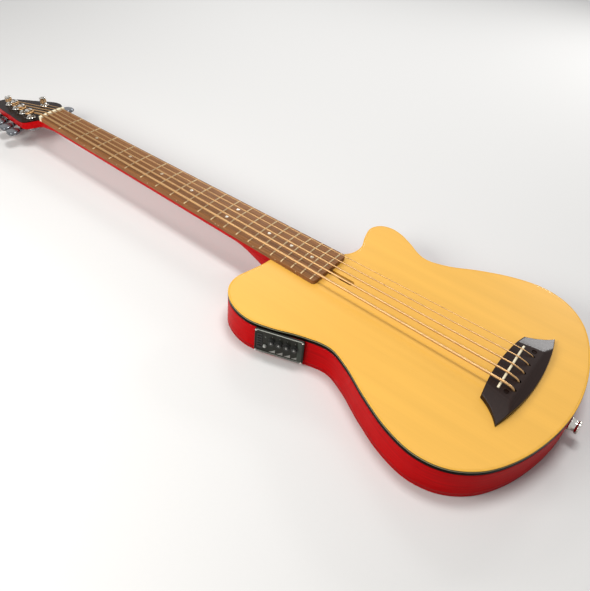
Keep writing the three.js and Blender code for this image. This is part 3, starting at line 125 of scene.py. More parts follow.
# Bridge, nut and saddle
BRIDGE_LOW, BRIDGE_TOP = 51.3, 60.7
BRIDGE_MIDDLE = SADDLE_X + 2.6
BRIDGE_FRONT = BRIDGE_MIDDLE - 15
BRIDGE_REAR = BRIDGE_MIDDLE + 35
BRIDGE_FRONT_HALF = 61
BRIDGE_HALF = 88
BRIDGE_TIP_X = BRIDGE_REAR - 12.5
BRIDGE_CORNER_X = BRIDGE_FRONT + 6
WING_START, WING_SKEW, WING_DROP, WING_RUN = 46, 9 / 50, 5.8, 33
BEVEL_LENGTH, BEVEL_DROP = 13, 5
BRIDGE_DOTS = [(BRIDGE_MIDDLE + 12, side * 41) for side in (-1, 1)]
HOLE_BEHIND, HOLE_SLOPE, HOLE_DEPTH = 13, radians(60), 8
SADDLE_LENGTH = 84
SADDLE_THICKNESS = 3
SADDLE_SLANT = 3.6
SADDLE_RISE, NUT_RISE = 4.2, 0.5

# Strings from the bass side to the treble side
STRING_DIAMETERS = (3.3, 2.7, 2.2, 1.65, 1.15)
STRING_TURNS = (1.2, 1.6, 2, 2.4, 3)
NUT_SPREAD = 36.8
SADDLE_SPREAD = 65.5
COIL_START, COIL_GAP = 6, 0.9
STRING_BEND_REACH, STRING_SIDES = 3.0, 14

# Tuners, in each tuner's own frame: Z up its post, Y away from its key
PLATE_TOP, PLATE_LOW = -14.3, -15.8
GEAR_TOP, GEAR_LOW = -16.1, -20.1
WORM_X, SHAFT_Z = -13.5, -18.1
POST_HEIGHT = 16
POST_RADIUS, POST_WAIST, POST_HEAD = 4.5, 4.2, 5.8
POST_BORE = 4.7
BUSHING_TOP = 3
GEAR_TEETH, GEAR_RADIUS = 20, 9.5
WORM_PITCH, WORM_HALF = 2.6, 6.5
KEY_REACH, KEY_HALF_WIDTH, KEY_LENGTH, KEY_HALF_DEPTH = 22, 13, 22, 3
EAR_PLACES = (-6.8, 8.8)
BASE_SCREW_PLACES = ((6.5, 7.2), (6.5, -7.2), (-6.2, 7.6), (-6.2, -7.6))

# Preamp, in its own frame: X along the side, Y up, Z out of the body
PANEL_BACK, PANEL_FRONT = 1.525, 4.525
PANEL_LENGTH, PANEL_HEIGHT = 66, 40
KNOB_PLACES = [-9.2 + 10.2 * index for index in range(4)]
KNOB_LEVEL = 5
BUTTON_PLACE = (-18.5, -6.7)
TRAY_PLACE = -26
LAMP_PLACE = (-18.0, 9.2)
PANEL_SCREW_PLACES = [(side * 31, level * 18) for side in (-1, 1) for level in (-1, 1)]
PANEL_BEAD_HALF = 30
PREAMP_CUT_HALVES = (31.3, 16.3)
PREAMP_REACH = 60

# Outline of the body: which bout, share of the body's length, share of half that bout's width
BASS_EDGE_SHARES = (
    ("upper", 0.020, 0.360), ("upper", 0.006, 0.554), ("upper", 0.000, 0.657), ("upper", 0.011, 0.796),
    ("upper", 0.040, 0.900), ("upper", 0.085, 0.972), ("upper", 0.145, 1.000), ("upper", 0.215, 0.952),
    ("waist", 0.300, 1.058), ("waist", 0.385, 0.990), ("waist", 0.455, 1.082), ("lower", 0.550, 0.837),
    ("lower", 0.650, 0.952), ("lower", 0.740, 1.000), ("lower", 0.820, 0.963), ("lower", 0.890, 0.840),
    ("lower", 0.945, 0.629), ("lower", 0.985, 0.326),
)
TREBLE_EDGE_SHARES = (
    ("lower", 0.985, 0.326), ("lower", 0.945, 0.629), ("lower", 0.890, 0.840), ("lower", 0.820, 0.963),
    ("lower", 0.740, 1.000), ("lower", 0.650, 0.952), ("lower", 0.550, 0.837), ("waist", 0.465, 1.090),
    ("waist", 0.400, 1.010), ("upper", 0.365, 0.829), ("upper", 0.312, 0.919), ("upper", 0.259, 0.990),
    ("upper", 0.217, 1.003), ("upper", 0.185, 0.960), ("upper", 0.167, 0.855), ("upper", 0.178, 0.695),
    ("upper", 0.200, 0.520), ("upper", 0.193, 0.370), ("upper", 0.160, 0.262), ("upper", 0.110, 0.222),
)
# Outline of the headstock: share of its length behind the nut, share of its half width
HEAD_SHARES = (
    (0.025, -0.530), (0.055, -0.690), (0.090, -0.870), (0.130, -0.965), (0.185, -0.955), (0.480, -0.715),
    (0.800, -0.440), (0.930, -0.310), (0.985, -0.160), (1.000, 0.030), (0.980, 0.230), (0.920, 0.370),
    (0.800, 0.520), (0.560, 0.760), (0.400, 0.930), (0.300, 1.000), (0.210, 0.970), (0.140, 0.850),
    (0.080, 0.640), (0.030, 0.530),
)
# Outline of a key's paddle: share of its half width, share of its length
KEY_SHARES = (
    (0.30, 0.00), (0.72, 0.10), (0.96, 0.34), (1.00, 0.62), (0.86, 0.88), (0.50, 1.00),
    (-0.50, 1.00), (-0.86, 0.88), (-1.00, 0.62), (-0.96, 0.34), (-0.72, 0.10), (-0.30, 0.00),
)


def screen(red, green, blue):
    """The linear colour that shows as these 0 to 255 screen values: the screen's power curve undone."""
    shares = (np.array([red, green, blue]) / 255 + 0.055) / 1.055
    return (*(shares ** 2.4), 1.0)


# Sizes and colours that a user would change
def length(name, description, default, low, high):
    """A size that the user changes, given here in millimetres."""
    return FloatProperty(
        name=name, description=description, default=default * MM, min=low * MM, max=high * MM,
        unit="LENGTH", subtype="DISTANCE", precision=5,
    )


def colour(name, description, red, green, blue):
    """A colour that the user changes, given here as it shows on a screen."""
    return FloatVectorProperty(
        name=name, description=description, default=screen(red, green, blue),
        size=4, min=0, max=1, subtype="COLOR",
    )


class BassBodyLook(bpy.types.PropertyGroup):
    """Sizes and colours of the body"""
    edge_round: length("Edge rounding", "Radius on the rim of the top", 1.1, 0.2, 2)
    back_round: length("Back rounding", "Radius on the rim of the back", 1.6, 0.2, 3)
    top_line: length("Upper line", "Height of the dark line under the rim", 1.0, 0.1, 2)
    pale_line: length("Pale line", "Height of the pale line in the binding", 1.3, 0.1, 3)
    outline_points: IntProperty(
        name="Outline points", description="Points round the body's outline", default=420, min=80, max=900)
    top_colour: colour("Top", "Honey stain of the soundboard", 248, 190, 84)
    red_colour: colour("Red", "Transparent red of the sides, back and neck", 202, 6, 12)
    red_shade: colour("Red grain", "Darker grain under the red", 128, 4, 8)
    binding_colour: colour("Binding", "Black layers of the binding", 12, 11, 12)
    pale_colour: colour("Pale line colour", "Pale layer of the binding", 150, 150, 118)
    bare_colour: colour("Bare wood", "Unfinished wood inside the body", 150, 104, 64)


class BassNeckLook(bpy.types.PropertyGroup):
    """Sizes and colours of the neck and fingerboard"""
    board_round: length("Board edge", "Radius along the fingerboard's edges", 0.8, 0.1, 2)
    fret_height: length("Fret height", "Height of a fret's crown", 1.0, 0.4, 1.0)
    dot_radius: length("Dot radius", "Radius of the face dots", 2.6, 1, 4)
    side_dot_radius: length("Side dot radius", "Radius of the dots on the edge", 1.0, 0.4, 2)
    board_colour: colour("Fingerboard", "Oiled rosewood", 158, 108, 66)
    face_colour: colour("Headstock face", "Dark stained face of the headstock", 32, 19, 14)
    bridge_colour: colour("Bridge", "Dark wood of the bridge", 42, 25, 19)
    dot_colour: colour("Dots", "Pearl-like dots", 214, 196, 160)
    bone_colour: colour("Bone", "Nut and saddle", 238, 226, 192)


class BassMetalLook(bpy.types.PropertyGroup):
    """Colours of the metal parts and strings"""
    chrome_colour: colour("Chrome", "Tuners and end pin", 204, 200, 192)
    # painted reflection: the keys' chrome is darkened to stand in for dark surroundings mirrored in it
    key_painted_dark_colour: colour("Keys", "Darker plating of the keys", 112, 114, 118)
    fret_colour: colour("Fret wire", "Nickel silver frets", 192, 168, 130)
    string_colour: colour("Strings", "Bronze winding", 196, 154, 106)
    brass_colour: colour("Brass", "Truss rod nut and pickup strip", 190, 152, 84)
    winding_pitch: length("Winding pitch", "Distance between turns of the winding wire", 0.5, 0.2, 2)


class BassPanelLook(bpy.types.PropertyGroup):
    """Sizes and colours of the preamp's panel"""
    rim: length("Rim width", "Width of the raised rim", 1.6, 0.5, 4)
    sunk: length("Sunk depth", "How far the panel lies under its rim", 0.5, 0.1, 1.5)
    panel_colour: colour("Panel", "Dark grey moulding", 36, 37, 31)
    mark_colour: colour("Marks", "Grey level marks", 140, 140, 134)
    knob_colour: colour("Knobs", "Black moulding", 26, 27, 24)


class BassStageLook(bpy.types.PropertyGroup):
    """Floor, lamps and camera"""
    floor_colour: colour("Floor", "Pale floor", 226, 225, 223)
    camera_place: FloatVectorProperty(
        name="Camera place", description="Where the camera stands",
        default=(0.2146, -0.5944, 0.6352), subtype="TRANSLATION", unit="LENGTH")
    camera_turn: FloatVectorProperty(
        name="Camera turn", description="How the camera is turned",
        default=(radians(47.073), radians(-4.4075), radians(38.1075)), subtype="EULER", unit="ROTATION")
    lens: FloatProperty(
        name="Lens", description="Focal length in millimetres on a 36 mm sensor",
        default=39.98, min=10, max=200)


# Curves and shapes
def curve_through(points, closed=False, per_span=24):
    """Centripetal spline: each span between two points is a cubic whose end slopes weigh the
    neighbouring chords by the square roots of their lengths."""
    points = np.asarray(points, float)
    if closed:
        padded = np.vstack([points[-1:], points, points[:2]])
    else:
        padded = np.vstack([2 * points[0] - points[1], points, 2 * points[-1] - points[-2]])
    before, start, end, after = padded[:-3], padded[1:-2], padded[2:-1], padded[3:]

    def root(a, b):
        return np.sqrt(np.linalg.norm(b - a, axis=1))[:, None]

    back, span, fore = root(before, start), root(start, end), root(end, after)
    leave = ((start - before) / back - (end - before) / (back + span) + (end - start) / span) * span
    reach = ((end - start) / span - (after - start) / (span + fore) + (after - end) / fore) * span
    t = np.linspace(0, 1, per_span, endpoint=False)[None, :, None]
    start, end, leave, reach = (part[:, None, :] for part in (start, end, leave, reach))
    square = -3 * start + 3 * end - 2 * leave - reach
    cube = 2 * start - 2 * end + leave + reach
    samples = (start + leave * t + square * t ** 2 + cube * t ** 3).reshape(-1, points.shape[1])
    return samples if closed else np.vstack([samples, points[-1:]])


def run_length(points):
    """Distance travelled along a chain of points up to each of them."""
    steps = np.linalg.norm(np.diff(points, axis=0), axis=1)
    return np.concatenate([[0], np.cumsum(steps)])


def at_lengths(points, lengths):
    """Points at given distances along a chain, between its points in a straight line."""
    travelled = run_length(points)
    return np.column_stack([np.interp(lengths, travelled, axis) for axis in points.T])


def evenly(points, count):
    """The chain's points moved to equal distances along it."""
    return at_lengths(points, np.linspace(0, run_length(points)[-1], count))


def offset(outline, distance, closed):
    """Each point moved along the normal of the line through its two neighbours, to the left of the run."""
    if closed:
        run = np.roll(outline, -1, axis=0) - np.roll(outline, 1, axis=0)
    else:
        padded = np.vstack([outline[:1], outline, outline[-1:]])
        run = padded[2:] - padded[:-2]
    normal = np.column_stack([-run[:, 1], run[:, 0]])
    return outline + distance * normal / np.linalg.norm(normal, axis=1)[:, None]


def rounded_edge(low, high, low_round, high_round, steps=5):
    """Profile of a plate's edge as (inset, height): quarter circles at both rims, and a flat margin."""
    angle = np.linspace(0, pi / 2, steps)
    foot = np.column_stack([low_round * (1 - np.sin(angle)), low + low_round * (1 - np.cos(angle))])
    head = np.column_stack([high_round * (1 - np.cos(angle)), high - high_round * (1 - np.sin(angle))])
    first = [[low_round + 0.4, low]]
    last = [[high_round + 0.4, high]]
    return np.vstack([first, foot, head, last])


def layered(outline, profile, closed=True):
    """Rings of an outline: each is the outline moved inwards by the profile's inset, at its height."""
    return np.stack([
        np.column_stack([offset(outline, inset, closed), np.full(len(outline), height)])
        for inset, height in profile
    ])


def grid_faces(rows, columns, wrap_rows=False, wrap_columns=True):
    """Quads between neighbouring points of a grid of rows by columns."""
    row = np.arange(rows if wrap_rows else rows - 1)[:, None]
    column = np.arange(columns if wrap_columns else columns - 1)[None, :]
    next_row, next_column = (row + 1) % rows, (column + 1) % columns
    corners = (
        row * columns + column, row * columns + next_column,
        next_row * columns + next_column, next_row * columns + column,
    )
    return np.stack([corner.ravel() for corner in corners], axis=1).tolist()


def loft(rings, closed=False):
    """Skin through rings of as many points each, with flat ends unless the rings close on themselves."""
    rings = np.asarray(rings, float)
    rows, columns = rings.shape[:2]
    faces = grid_faces(rows, columns, wrap_rows=closed)
    if not closed:
        faces.append(list(range(columns))[::-1])
        faces.append(list(range((rows - 1) * columns, rows * columns)))
    return rings.reshape(-1, 3), faces


def surface(x, y, z, closed=False):
    """Skin through rows of points whose coordinates are each spread over the grid's shape."""
    return loft(np.stack(np.broadcast_arrays(x, y, z), axis=-1), closed)


def plate(rings, holes=()):
    """Skin through level rings from the lowest to the highest, closed by flat faces that leave
    straight holes open."""
    rows, columns = rings.shape[:2]
    verts, faces = rings.reshape(-1, 3), grid_faces(rows, columns)
    if not holes:
        return verts, faces + [list(range(columns))[::-1], list(range((rows - 1) * columns, rows * columns))]
    levels = rings[0, 0, 2], rings[-1, 0, 2]
    parts, first = [verts], len(verts)
    flats = [[range(columns)], [range((rows - 1) * columns, rows * columns)]]
    for hole in holes:
        count = len(hole)
        parts += [np.column_stack([hole, np.full(count, level)]) for level in levels]
        faces += [[first + corner for corner in face] for face in grid_faces(2, count)]
        for loops in flats:
            loops.append(range(first, first + count))
            first += count
    verts = np.vstack(parts)
    for loops in flats:
        index = [corner for loop in loops for corner in loop]
        triangles = tessellate_polygon([[Vector(verts[corner]) for corner in loop] for loop in loops])
        faces += [[index[corner] for corner in triangle] for triangle in triangles]
    return verts, faces


def lathe(profile, sides, ripple=None):
    """Profile of (radius, height) turned about Z; ripple adds to the radius for each angle and height."""
    profile = np.asarray(profile, float)
    angle = np.linspace(0, 2 * pi, sides, endpoint=False)[None, :]
    closed = bool(np.allclose(profile[0], profile[-1]))
    if closed:
        profile = profile[:-1]
    radius, height = profile[:, :1], profile[:, 1:]
    if ripple is not None:
        radius = radius + ripple(angle, height, radius)
    return surface(radius * np.cos(angle), radius * np.sin(angle), height, closed)


def circle(radius, middle=(0, 0), sides=32):
    """Points round a circle, anticlockwise."""
    angle = np.linspace(0, 2 * pi, sides, endpoint=False)
    return np.column_stack([middle[0] + radius * np.cos(angle), middle[1] + radius * np.sin(angle)])


def rounded_box(half_length, half_width, radius, middle=(0, 0), steps=6):
    """Rectangle with quarter circles for corners, anticlockwise."""
    turn = np.linspace(0, pi / 2, steps)
    quarters = [
        np.column_stack([
            side_x * (half_length - radius) + radius * np.cos(turn + start),
            side_y * (half_width - radius) + radius * np.sin(turn + start),
        ])
        for side_x, side_y, start in ((1, 1, 0), (-1, 1, pi / 2), (-1, -1, pi), (1, -1, 1.5 * pi))
    ]
    return np.vstack(quarters) + np.asarray(middle)


def block(low, high, edge):
    """Upright block between two corners with rounded edges."""
    low, high = np.asarray(low, float), np.asarray(high, float)
    half, middle = (high - low) / 2, (high + low) / 2
    outline = rounded_box(half[0], half[1], edge, middle[:2], steps=4)
    profile = rounded_edge(low[2], high[2], edge * 0.8, edge * 0.8, steps=3)
    return plate(layered(outline, profile[1:-1]))


def sweep(path, radius, sides, reference=(0, 0, 1)):
    """Tube round a path: circles across its run, held level by a reference direction."""
    padded = np.vstack([path[:1], path, path[-1:]])
    run = padded[2:] - padded[:-2]
    run /= np.linalg.norm(run, axis=1)[:, None]
    aside = np.cross(run, np.asarray(reference, float))
    aside /= np.linalg.norm(aside, axis=1)[:, None]
    up = np.cross(aside, run)
    angle = np.linspace(0, 2 * pi, sides, endpoint=False)[None, :, None]
    return path[:, None, :] + radius * (np.cos(angle) * aside[:, None, :] + np.sin(angle) * up[:, None, :])


def joined(*shapes):
    """Several shapes as one."""
    verts, faces, first = [], [], 0
    for points, polygons in shapes:
        verts.append(points)
        faces += [[first + corner for corner in polygon] for polygon in polygons]
        first += len(points)
    return np.vstack(verts), faces


def moved(shape, matrix):
    """The shape turned and shifted by a 4 by 4 matrix in millimetres."""
    points, faces = shape
    return points @ matrix[:3, :3].T + matrix[:3, 3], faces


def frame_of(origin, x, y, z):
    """Matrix that takes a local frame with these axes to the model's frame."""
    matrix = np.eye(4)
    matrix[:3, :3] = np.column_stack([x, y, z])
    matrix[:3, 3] = origin
    return matrix


def upright(origin=(0, 0, 0)):
    """Frame that stands on edge: its own Y points up and its own Z along -Y."""
    return frame_of(origin, (1, 0, 0), (0, 0, 1), (0, -1, 0))


def shifted(shape, x, y, z):
    """The shape carried along by x, y and z."""
    return shape[0] + np.array([x, y, z], float), shape[1]


def object_from(name, shape, sharp=35, closed=True):
    """Mesh object in metres from points and faces, welded, facing outwards, smooth but for sharp edges."""
    points, faces = shape
    mesh = bpy.data.meshes.new(name)
    mesh.from_pydata((np.asarray(points) * MM).tolist(), [], faces)
    work = bmesh.new()
    work.from_mesh(mesh)
    bmesh.ops.remove_doubles(work, verts=work.verts, dist=2e-7)
    if closed:
        bmesh.ops.recalc_face_normals(work, faces=work.faces)
    work.to_mesh(mesh)
    work.free()
    mesh.shade_smooth()
    mesh.set_sharp_from_angle(angle=radians(sharp))
    made = bpy.data.objects.new(name, mesh)
    bpy.context.scene.collection.objects.link(made)
    return made


def settle(made, finish, body="instrument", replaces=()):
    """Gives a finished piece its named finish and lets it ride on its body."""
    made.data.materials.clear()
    made.data.materials.append(finish_of(finish))
    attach(made, body)
    if replaces:
        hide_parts(*replaces)


def piece(name, shape, finish, slot, body="instrument", replaces=(), sharp=35):
    """Makes a shape an object and settles it."""
    settle(object_from(name, shape, sharp), finish, body, replaces)


def lay_coordinates(made, place):
    """Surface coordinates for every corner of a face: place works both out from its point's number."""
    corners = np.empty(len(made.data.loops), dtype=np.int32)
    made.data.loops.foreach_get("vertex_index", corners)
    layer = made.data.uv_layers.new(name="UVMap")
    layer.data.foreach_set("uv", np.column_stack(place(corners)).astype(np.float32).ravel())


def carve(made, cutter_shape, sharp):
    """Cuts a shape out of a piece for good."""
    cutter = object_from("cutter", cutter_shape)
    modifier = made.modifiers.new("cut", "BOOLEAN")
    modifier.operation = "DIFFERENCE"
    modifier.solver = "EXACT"
    modifier.object = cutter
    graph = bpy.context.evaluated_depsgraph_get()
    mesh = bpy.data.meshes.new_from_object(made.evaluated_get(graph))
    made.modifiers.remove(modifier)
    made.data = mesh
    mesh.set_sharp_from_angle(angle=radians(sharp))
    bpy.data.objects.remove(cutter)


def box_mm(node):
    """Lowest and highest corner of a CAD node."""
    low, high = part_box(node)
    return np.array(low) / MM, np.array(high) / MM


# Places along the neck
def fret_x(number):
    """Each fret takes the twelfth root of two off the length that sounds."""
    return NUT_X + SCALE_LENGTH * (1 - 2 ** (-np.asarray(number, float) / 12))


def fret_middle(number):
    """Half way between a fret and the one before it."""
    return float(fret_x(number) + fret_x(number - 1)) / 2


BOARD_END = float(fret_x(FRET_COUNT) + fret_x(FRET_COUNT + 1)) / 2


def board_half(x):
    """Half of the fingerboard's width, which widens evenly from the nut."""
    along = (np.asarray(x, float) - NUT_X) / (fret_x(FRET_COUNT) - NUT_X)
    return (NUT_WIDTH + (LAST_FRET_WIDTH - NUT_WIDTH) * along) / 2


def camber(y):
    """Fall of the fingerboard's round face away from its middle line."""
    return np.asarray(y, float) ** 2 / (2 * BOARD_RADIUS)


def smooth(value, start, end):
    """0 before start, 1 after end, and a cubic S between them."""
    share = np.clip((value - start) / (end - start), 0, 1)
    return share * share * (3 - 2 * share)


HEAD_FRAME = frame_of(
    (NECK_START, 0, HEAD_Z),
    (np.cos(HEAD_TILT), 0, np.sin(HEAD_TILT)), (0, 1, 0), (-np.sin(HEAD_TILT), 0, np.cos(HEAD_TILT)),
)


def joint_frame(number):
    """A tuner's frame: the post's turning axis is Z, and the key's axis points along -Y."""
    post, key = JOINTS[f"tuner_post_{number}_turn"], JOINTS[f"tuner_key_{number}_turn"]
    z, y = np.array(post["axis"]), -np.array(key["axis"])
    y = y - z * (y @ z)
    y /= np.linalg.norm(y)
    return frame_of(np.array(post["pos_m"]) / MM, np.cross(y, z), y, z)


def panel_frame():
    """The preamp's frame: X along the side towards the tail, Y up, Z out of the body."""
    out = np.array(JOINTS["preamp_knob_1_turn"]["axis"])
    along = np.array([-out[1], out[0], 0])
    first = np.array(JOINTS["preamp_knob_1_turn"]["pos_m"]) / MM
    origin = first - along * KNOB_PLACES[0] - out * PANEL_FRONT
    origin[2] = first[2] - KNOB_LEVEL
    return frame_of(origin, along, (0, 0, 1), out)


# Materials
def new_finish(name):
    """An empty material with its node tree and its surface shader."""
    material = bpy.data.materials.new(name)
    material.use_nodes = True
    tree = material.node_tree
    return material, tree, tree.nodes["Principled BSDF"]


def feed(made, inputs):
    """Links or sets a node's inputs, each given by its name or number."""
    for key, value in inputs.items():
        if isinstance(value, bpy.types.NodeSocket):
            made.id_data.links.new(value, made.inputs[key])
        else:
            made.inputs[key].default_value = value


def node(tree, kind, inputs=None, **settings):
    """A new shader node with its settings and inputs."""
    made = tree.nodes.new(kind)
    for key, value in settings.items():
        setattr(made, key, value)
    feed(made, inputs or {})
    return made


def place_on(tree, scale, layer="Object"):
    """Coordinates of the surface, stretched by a scale for each axis."""
    where = node(tree, "ShaderNodeTexCoord")
    return node(tree, "ShaderNodeMapping", {"Vector": where.outputs[layer], "Scale": scale}).outputs[0]


def noise(tree, vector, scale, detail=4, rough=0.55, distortion=0.0):
    """Cloudy values from 0 to 1."""
    return node(tree, "ShaderNodeTexNoise", {
        "Vector": vector, "Scale": scale, "Detail": detail, "Roughness": rough, "Distortion": distortion,
    }).outputs["Fac"]


def ramp(tree, value, *stops, steps=False):
    """Colours along a value, blended or in steps."""
    made = node(tree, "ShaderNodeValToRGB", {"Fac": value})
    made.color_ramp.interpolation = "CONSTANT" if steps else "LINEAR"
    elements = made.color_ramp.elements
    while len(elements) < len(stops):
        elements.new(1)
    for element, (position, shade) in zip(elements, stops):
        element.position = position
        element.color = shade
    return made.outputs["Color"]


def spread(tree, value, low, high):
    """A value from 0 to 1 moved to a new range."""
    return node(tree, "ShaderNodeMapRange", {"Value": value, "To Min": low, "To Max": high}).outputs[0]


def mix(tree, share, first, second):
    """The first colour where the share is 0, the second where it is 1, blended between."""
    return node(tree, "ShaderNodeMix", {0: share, 6: first, 7: second}, data_type="RGBA").outputs[2]


def bump(tree, shader, height, strength, distance):
    """Small relief of the surface from a height."""
    made = node(tree, "ShaderNodeBump", {"Height": height, "Strength": strength, "Distance": distance})
    feed(shader, {"Normal": made.outputs[0]})


def shaded(colour_value, share):
    """The colour at a share of its strength."""
    return (*(np.array(colour_value[:3]) * share), 1.0)


def wood(
        name, light, dark, grain, *, layer="Object", contrast=0.5, rough=0.35, coat=0.0, polish=0.05,
        shine=0.3, pores=0.0):
    """Wood: fine grain stretched along the wood, a slow drift of tone across it, and open pores,
    under a thin clear lacquer."""
    material, tree, shader = new_finish(name)
    fine = noise(tree, place_on(tree, grain, layer), 1, detail=6, rough=0.65)
    slow = noise(tree, place_on(tree, tuple(0.06 * value + 3 for value in grain), layer), 1, detail=2)
    light_side = mix(tree, spread(tree, slow, 0, 1), light, shaded(light, 0.82))
    tone = ramp(tree, fine, (0.5 - 0.11 / max(contrast, 0.25), (0, 0, 0, 1)), (0.62, (1, 1, 1, 1)))
    share = spread(tree, tone, 1 - contrast, 1)
    body = mix(tree, share, dark, light_side)
    hair = noise(tree, place_on(tree, tuple(4 * value for value in grain), layer), 1, detail=2)
    if pores:
        body = mix(tree, ramp(tree, hair, (0.60, (0, 0, 0, 1)), (0.70, (pores, pores, pores, 1))),
                   body, shaded(dark, 0.35))
    feed(shader, {
        "Base Color": body, "Roughness": spread(tree, fine, rough - 0.06, rough + 0.08),
        "Specular IOR Level": shine,
    })
    lacquer(shader, coat, polish)
    bump(tree, shader, hair, 0.10 if coat else 0.35, 0.0002)
    return material


def lacquer(shader, weight, polish=0.05):
    """Clear gloss that mirrors little of a pale room face on, and more at a glance."""
    feed(shader, {"Coat Weight": weight, "Coat Roughness": polish, "Coat IOR": 1.28})


def plastic(name, base, rough, scale, strength, coat=0.0, shine=0.5):
    """Moulded plastic: a fine texture in the surface and a faint drift of tone."""
    material, tree, shader = new_finish(name)
    where = place_on(tree, (1, 1, 1))
    speck = noise(tree, where, scale, detail=3)
    drift = noise(tree, where, 60, detail=2)
    feed(shader, {
        "Base Color": mix(tree, spread(tree, drift, 0, 1), shaded(base, 0.85), shaded(base, 1.12)),
        "Roughness": spread(tree, speck, rough - 0.07, rough + 0.09), "Specular IOR Level": shine,
    })
    lacquer(shader, coat)
    bump(tree, shader, speck, strength, 0.0001)
    return material


def metal(name, base, rough, brushed=None, wear=0.1):
    """Metal: a clean base colour, and a roughness that drifts and shows fine polishing marks."""
    material, tree, shader = new_finish(name)
    fine = noise(tree, place_on(tree, brushed or (700, 700, 700)), 1, detail=4)
    slow = noise(tree, place_on(tree, (90, 90, 90)), 1, detail=2)
    feed(shader, {
        "Base Color": mix(tree, spread(tree, slow, 0, 1), shaded(base, 0.88), base),
        "Metallic": 1.0, "Roughness": spread(tree, fine, rough, rough + wear),
    })
    bump(tree, shader, fine, 0.05, 0.0001)
    return material


def binding_finish(look):
    """Layers up the body's edge: black, a pale line, black, and the stained rim on top."""
    material, tree, shader = new_finish("binding_layers")
    where = node(tree, "ShaderNodeTexCoord")
    height = node(tree, "ShaderNodeSeparateXYZ", {"Vector": where.outputs["Object"]}).outputs["Z"]
    tall, high = BINDING_HEIGHT * MM, BODY_DEPTH * MM
    share = node(tree, "ShaderNodeMapRange", {
        "Value": height, "From Min": (BODY_DEPTH - BINDING_HEIGHT) * MM, "From Max": high,
    }).outputs[0]
    rim = 1 - look.edge_round * 0.6 / tall
    line_top = rim - look.top_line / tall
    pale_low = line_top - look.pale_line / tall
    grain = noise(tree, place_on(tree, (12, 500, 500)), 1)
    layers = ramp(
        tree, share, (0.0, tuple(look.binding_colour)), (pale_low, tuple(look.pale_colour)),
        (line_top, tuple(look.binding_colour)), (rim, tuple(look.top_colour)), steps=True,
    )
    feed(shader, {
        "Base Color": mix(tree, spread(tree, grain, 0, 0.25), layers, shaded(look.top_colour, 0.02)),
        "Roughness": spread(tree, grain, 0.22, 0.34), "Specular IOR Level": 0.02,
    })
    lacquer(shader, 0.04)
    return material


# Distance in metres between the crests of a wave texture whose scale is 1
WAVE_LENGTH = 0.314159


def winding_finish(look):
    """Bronze wire wound round a core: ridges at the winding's pitch along the string, with painted shade that
    darkens the troughs between the turns.
    """
    material, tree, shader = new_finish("bronze_winding")
    wave = node(tree, "ShaderNodeTexWave", {
        "Vector": place_on(tree, (1, 1, 1), "UV"), "Scale": WAVE_LENGTH / look.winding_pitch,
        "Distortion": 0.0,
    }).outputs["Fac"]
    drift = noise(tree, place_on(tree, (40, 400, 400)), 1)
    # painted shade: the bronze is darker in the troughs between the turns, where shade falls
    base = mix(tree, wave, shaded(look.string_colour, 0.86), tuple(look.string_colour))
    feed(shader, {
        "Base Color": mix(tree, spread(tree, drift, 0, 0.35), base, shaded(look.brass_colour, 0.7)),
        "Metallic": 0.75, "Roughness": spread(tree, drift, 0.26, 0.4),
    })
    bump(tree, shader, wave, 0.25, 0.0001)
    return material


def pearl_finish(name, base):
    """Pearl-like inlay: soft clouds of tone under a polished face."""
    material, tree, shader = new_finish(name)
    clouds = noise(tree, place_on(tree, (1, 1, 1)), 420, detail=5, distortion=1.2)
    tone = ramp(tree, clouds, (0.35, shaded(base, 0.78)), (0.65, tuple(base)))
    feed(shader, {"Base Color": tone, "Roughness": spread(tree, clouds, 0.12, 0.25), "Coat Weight": 0.5})
    return material


FINISHES = {}


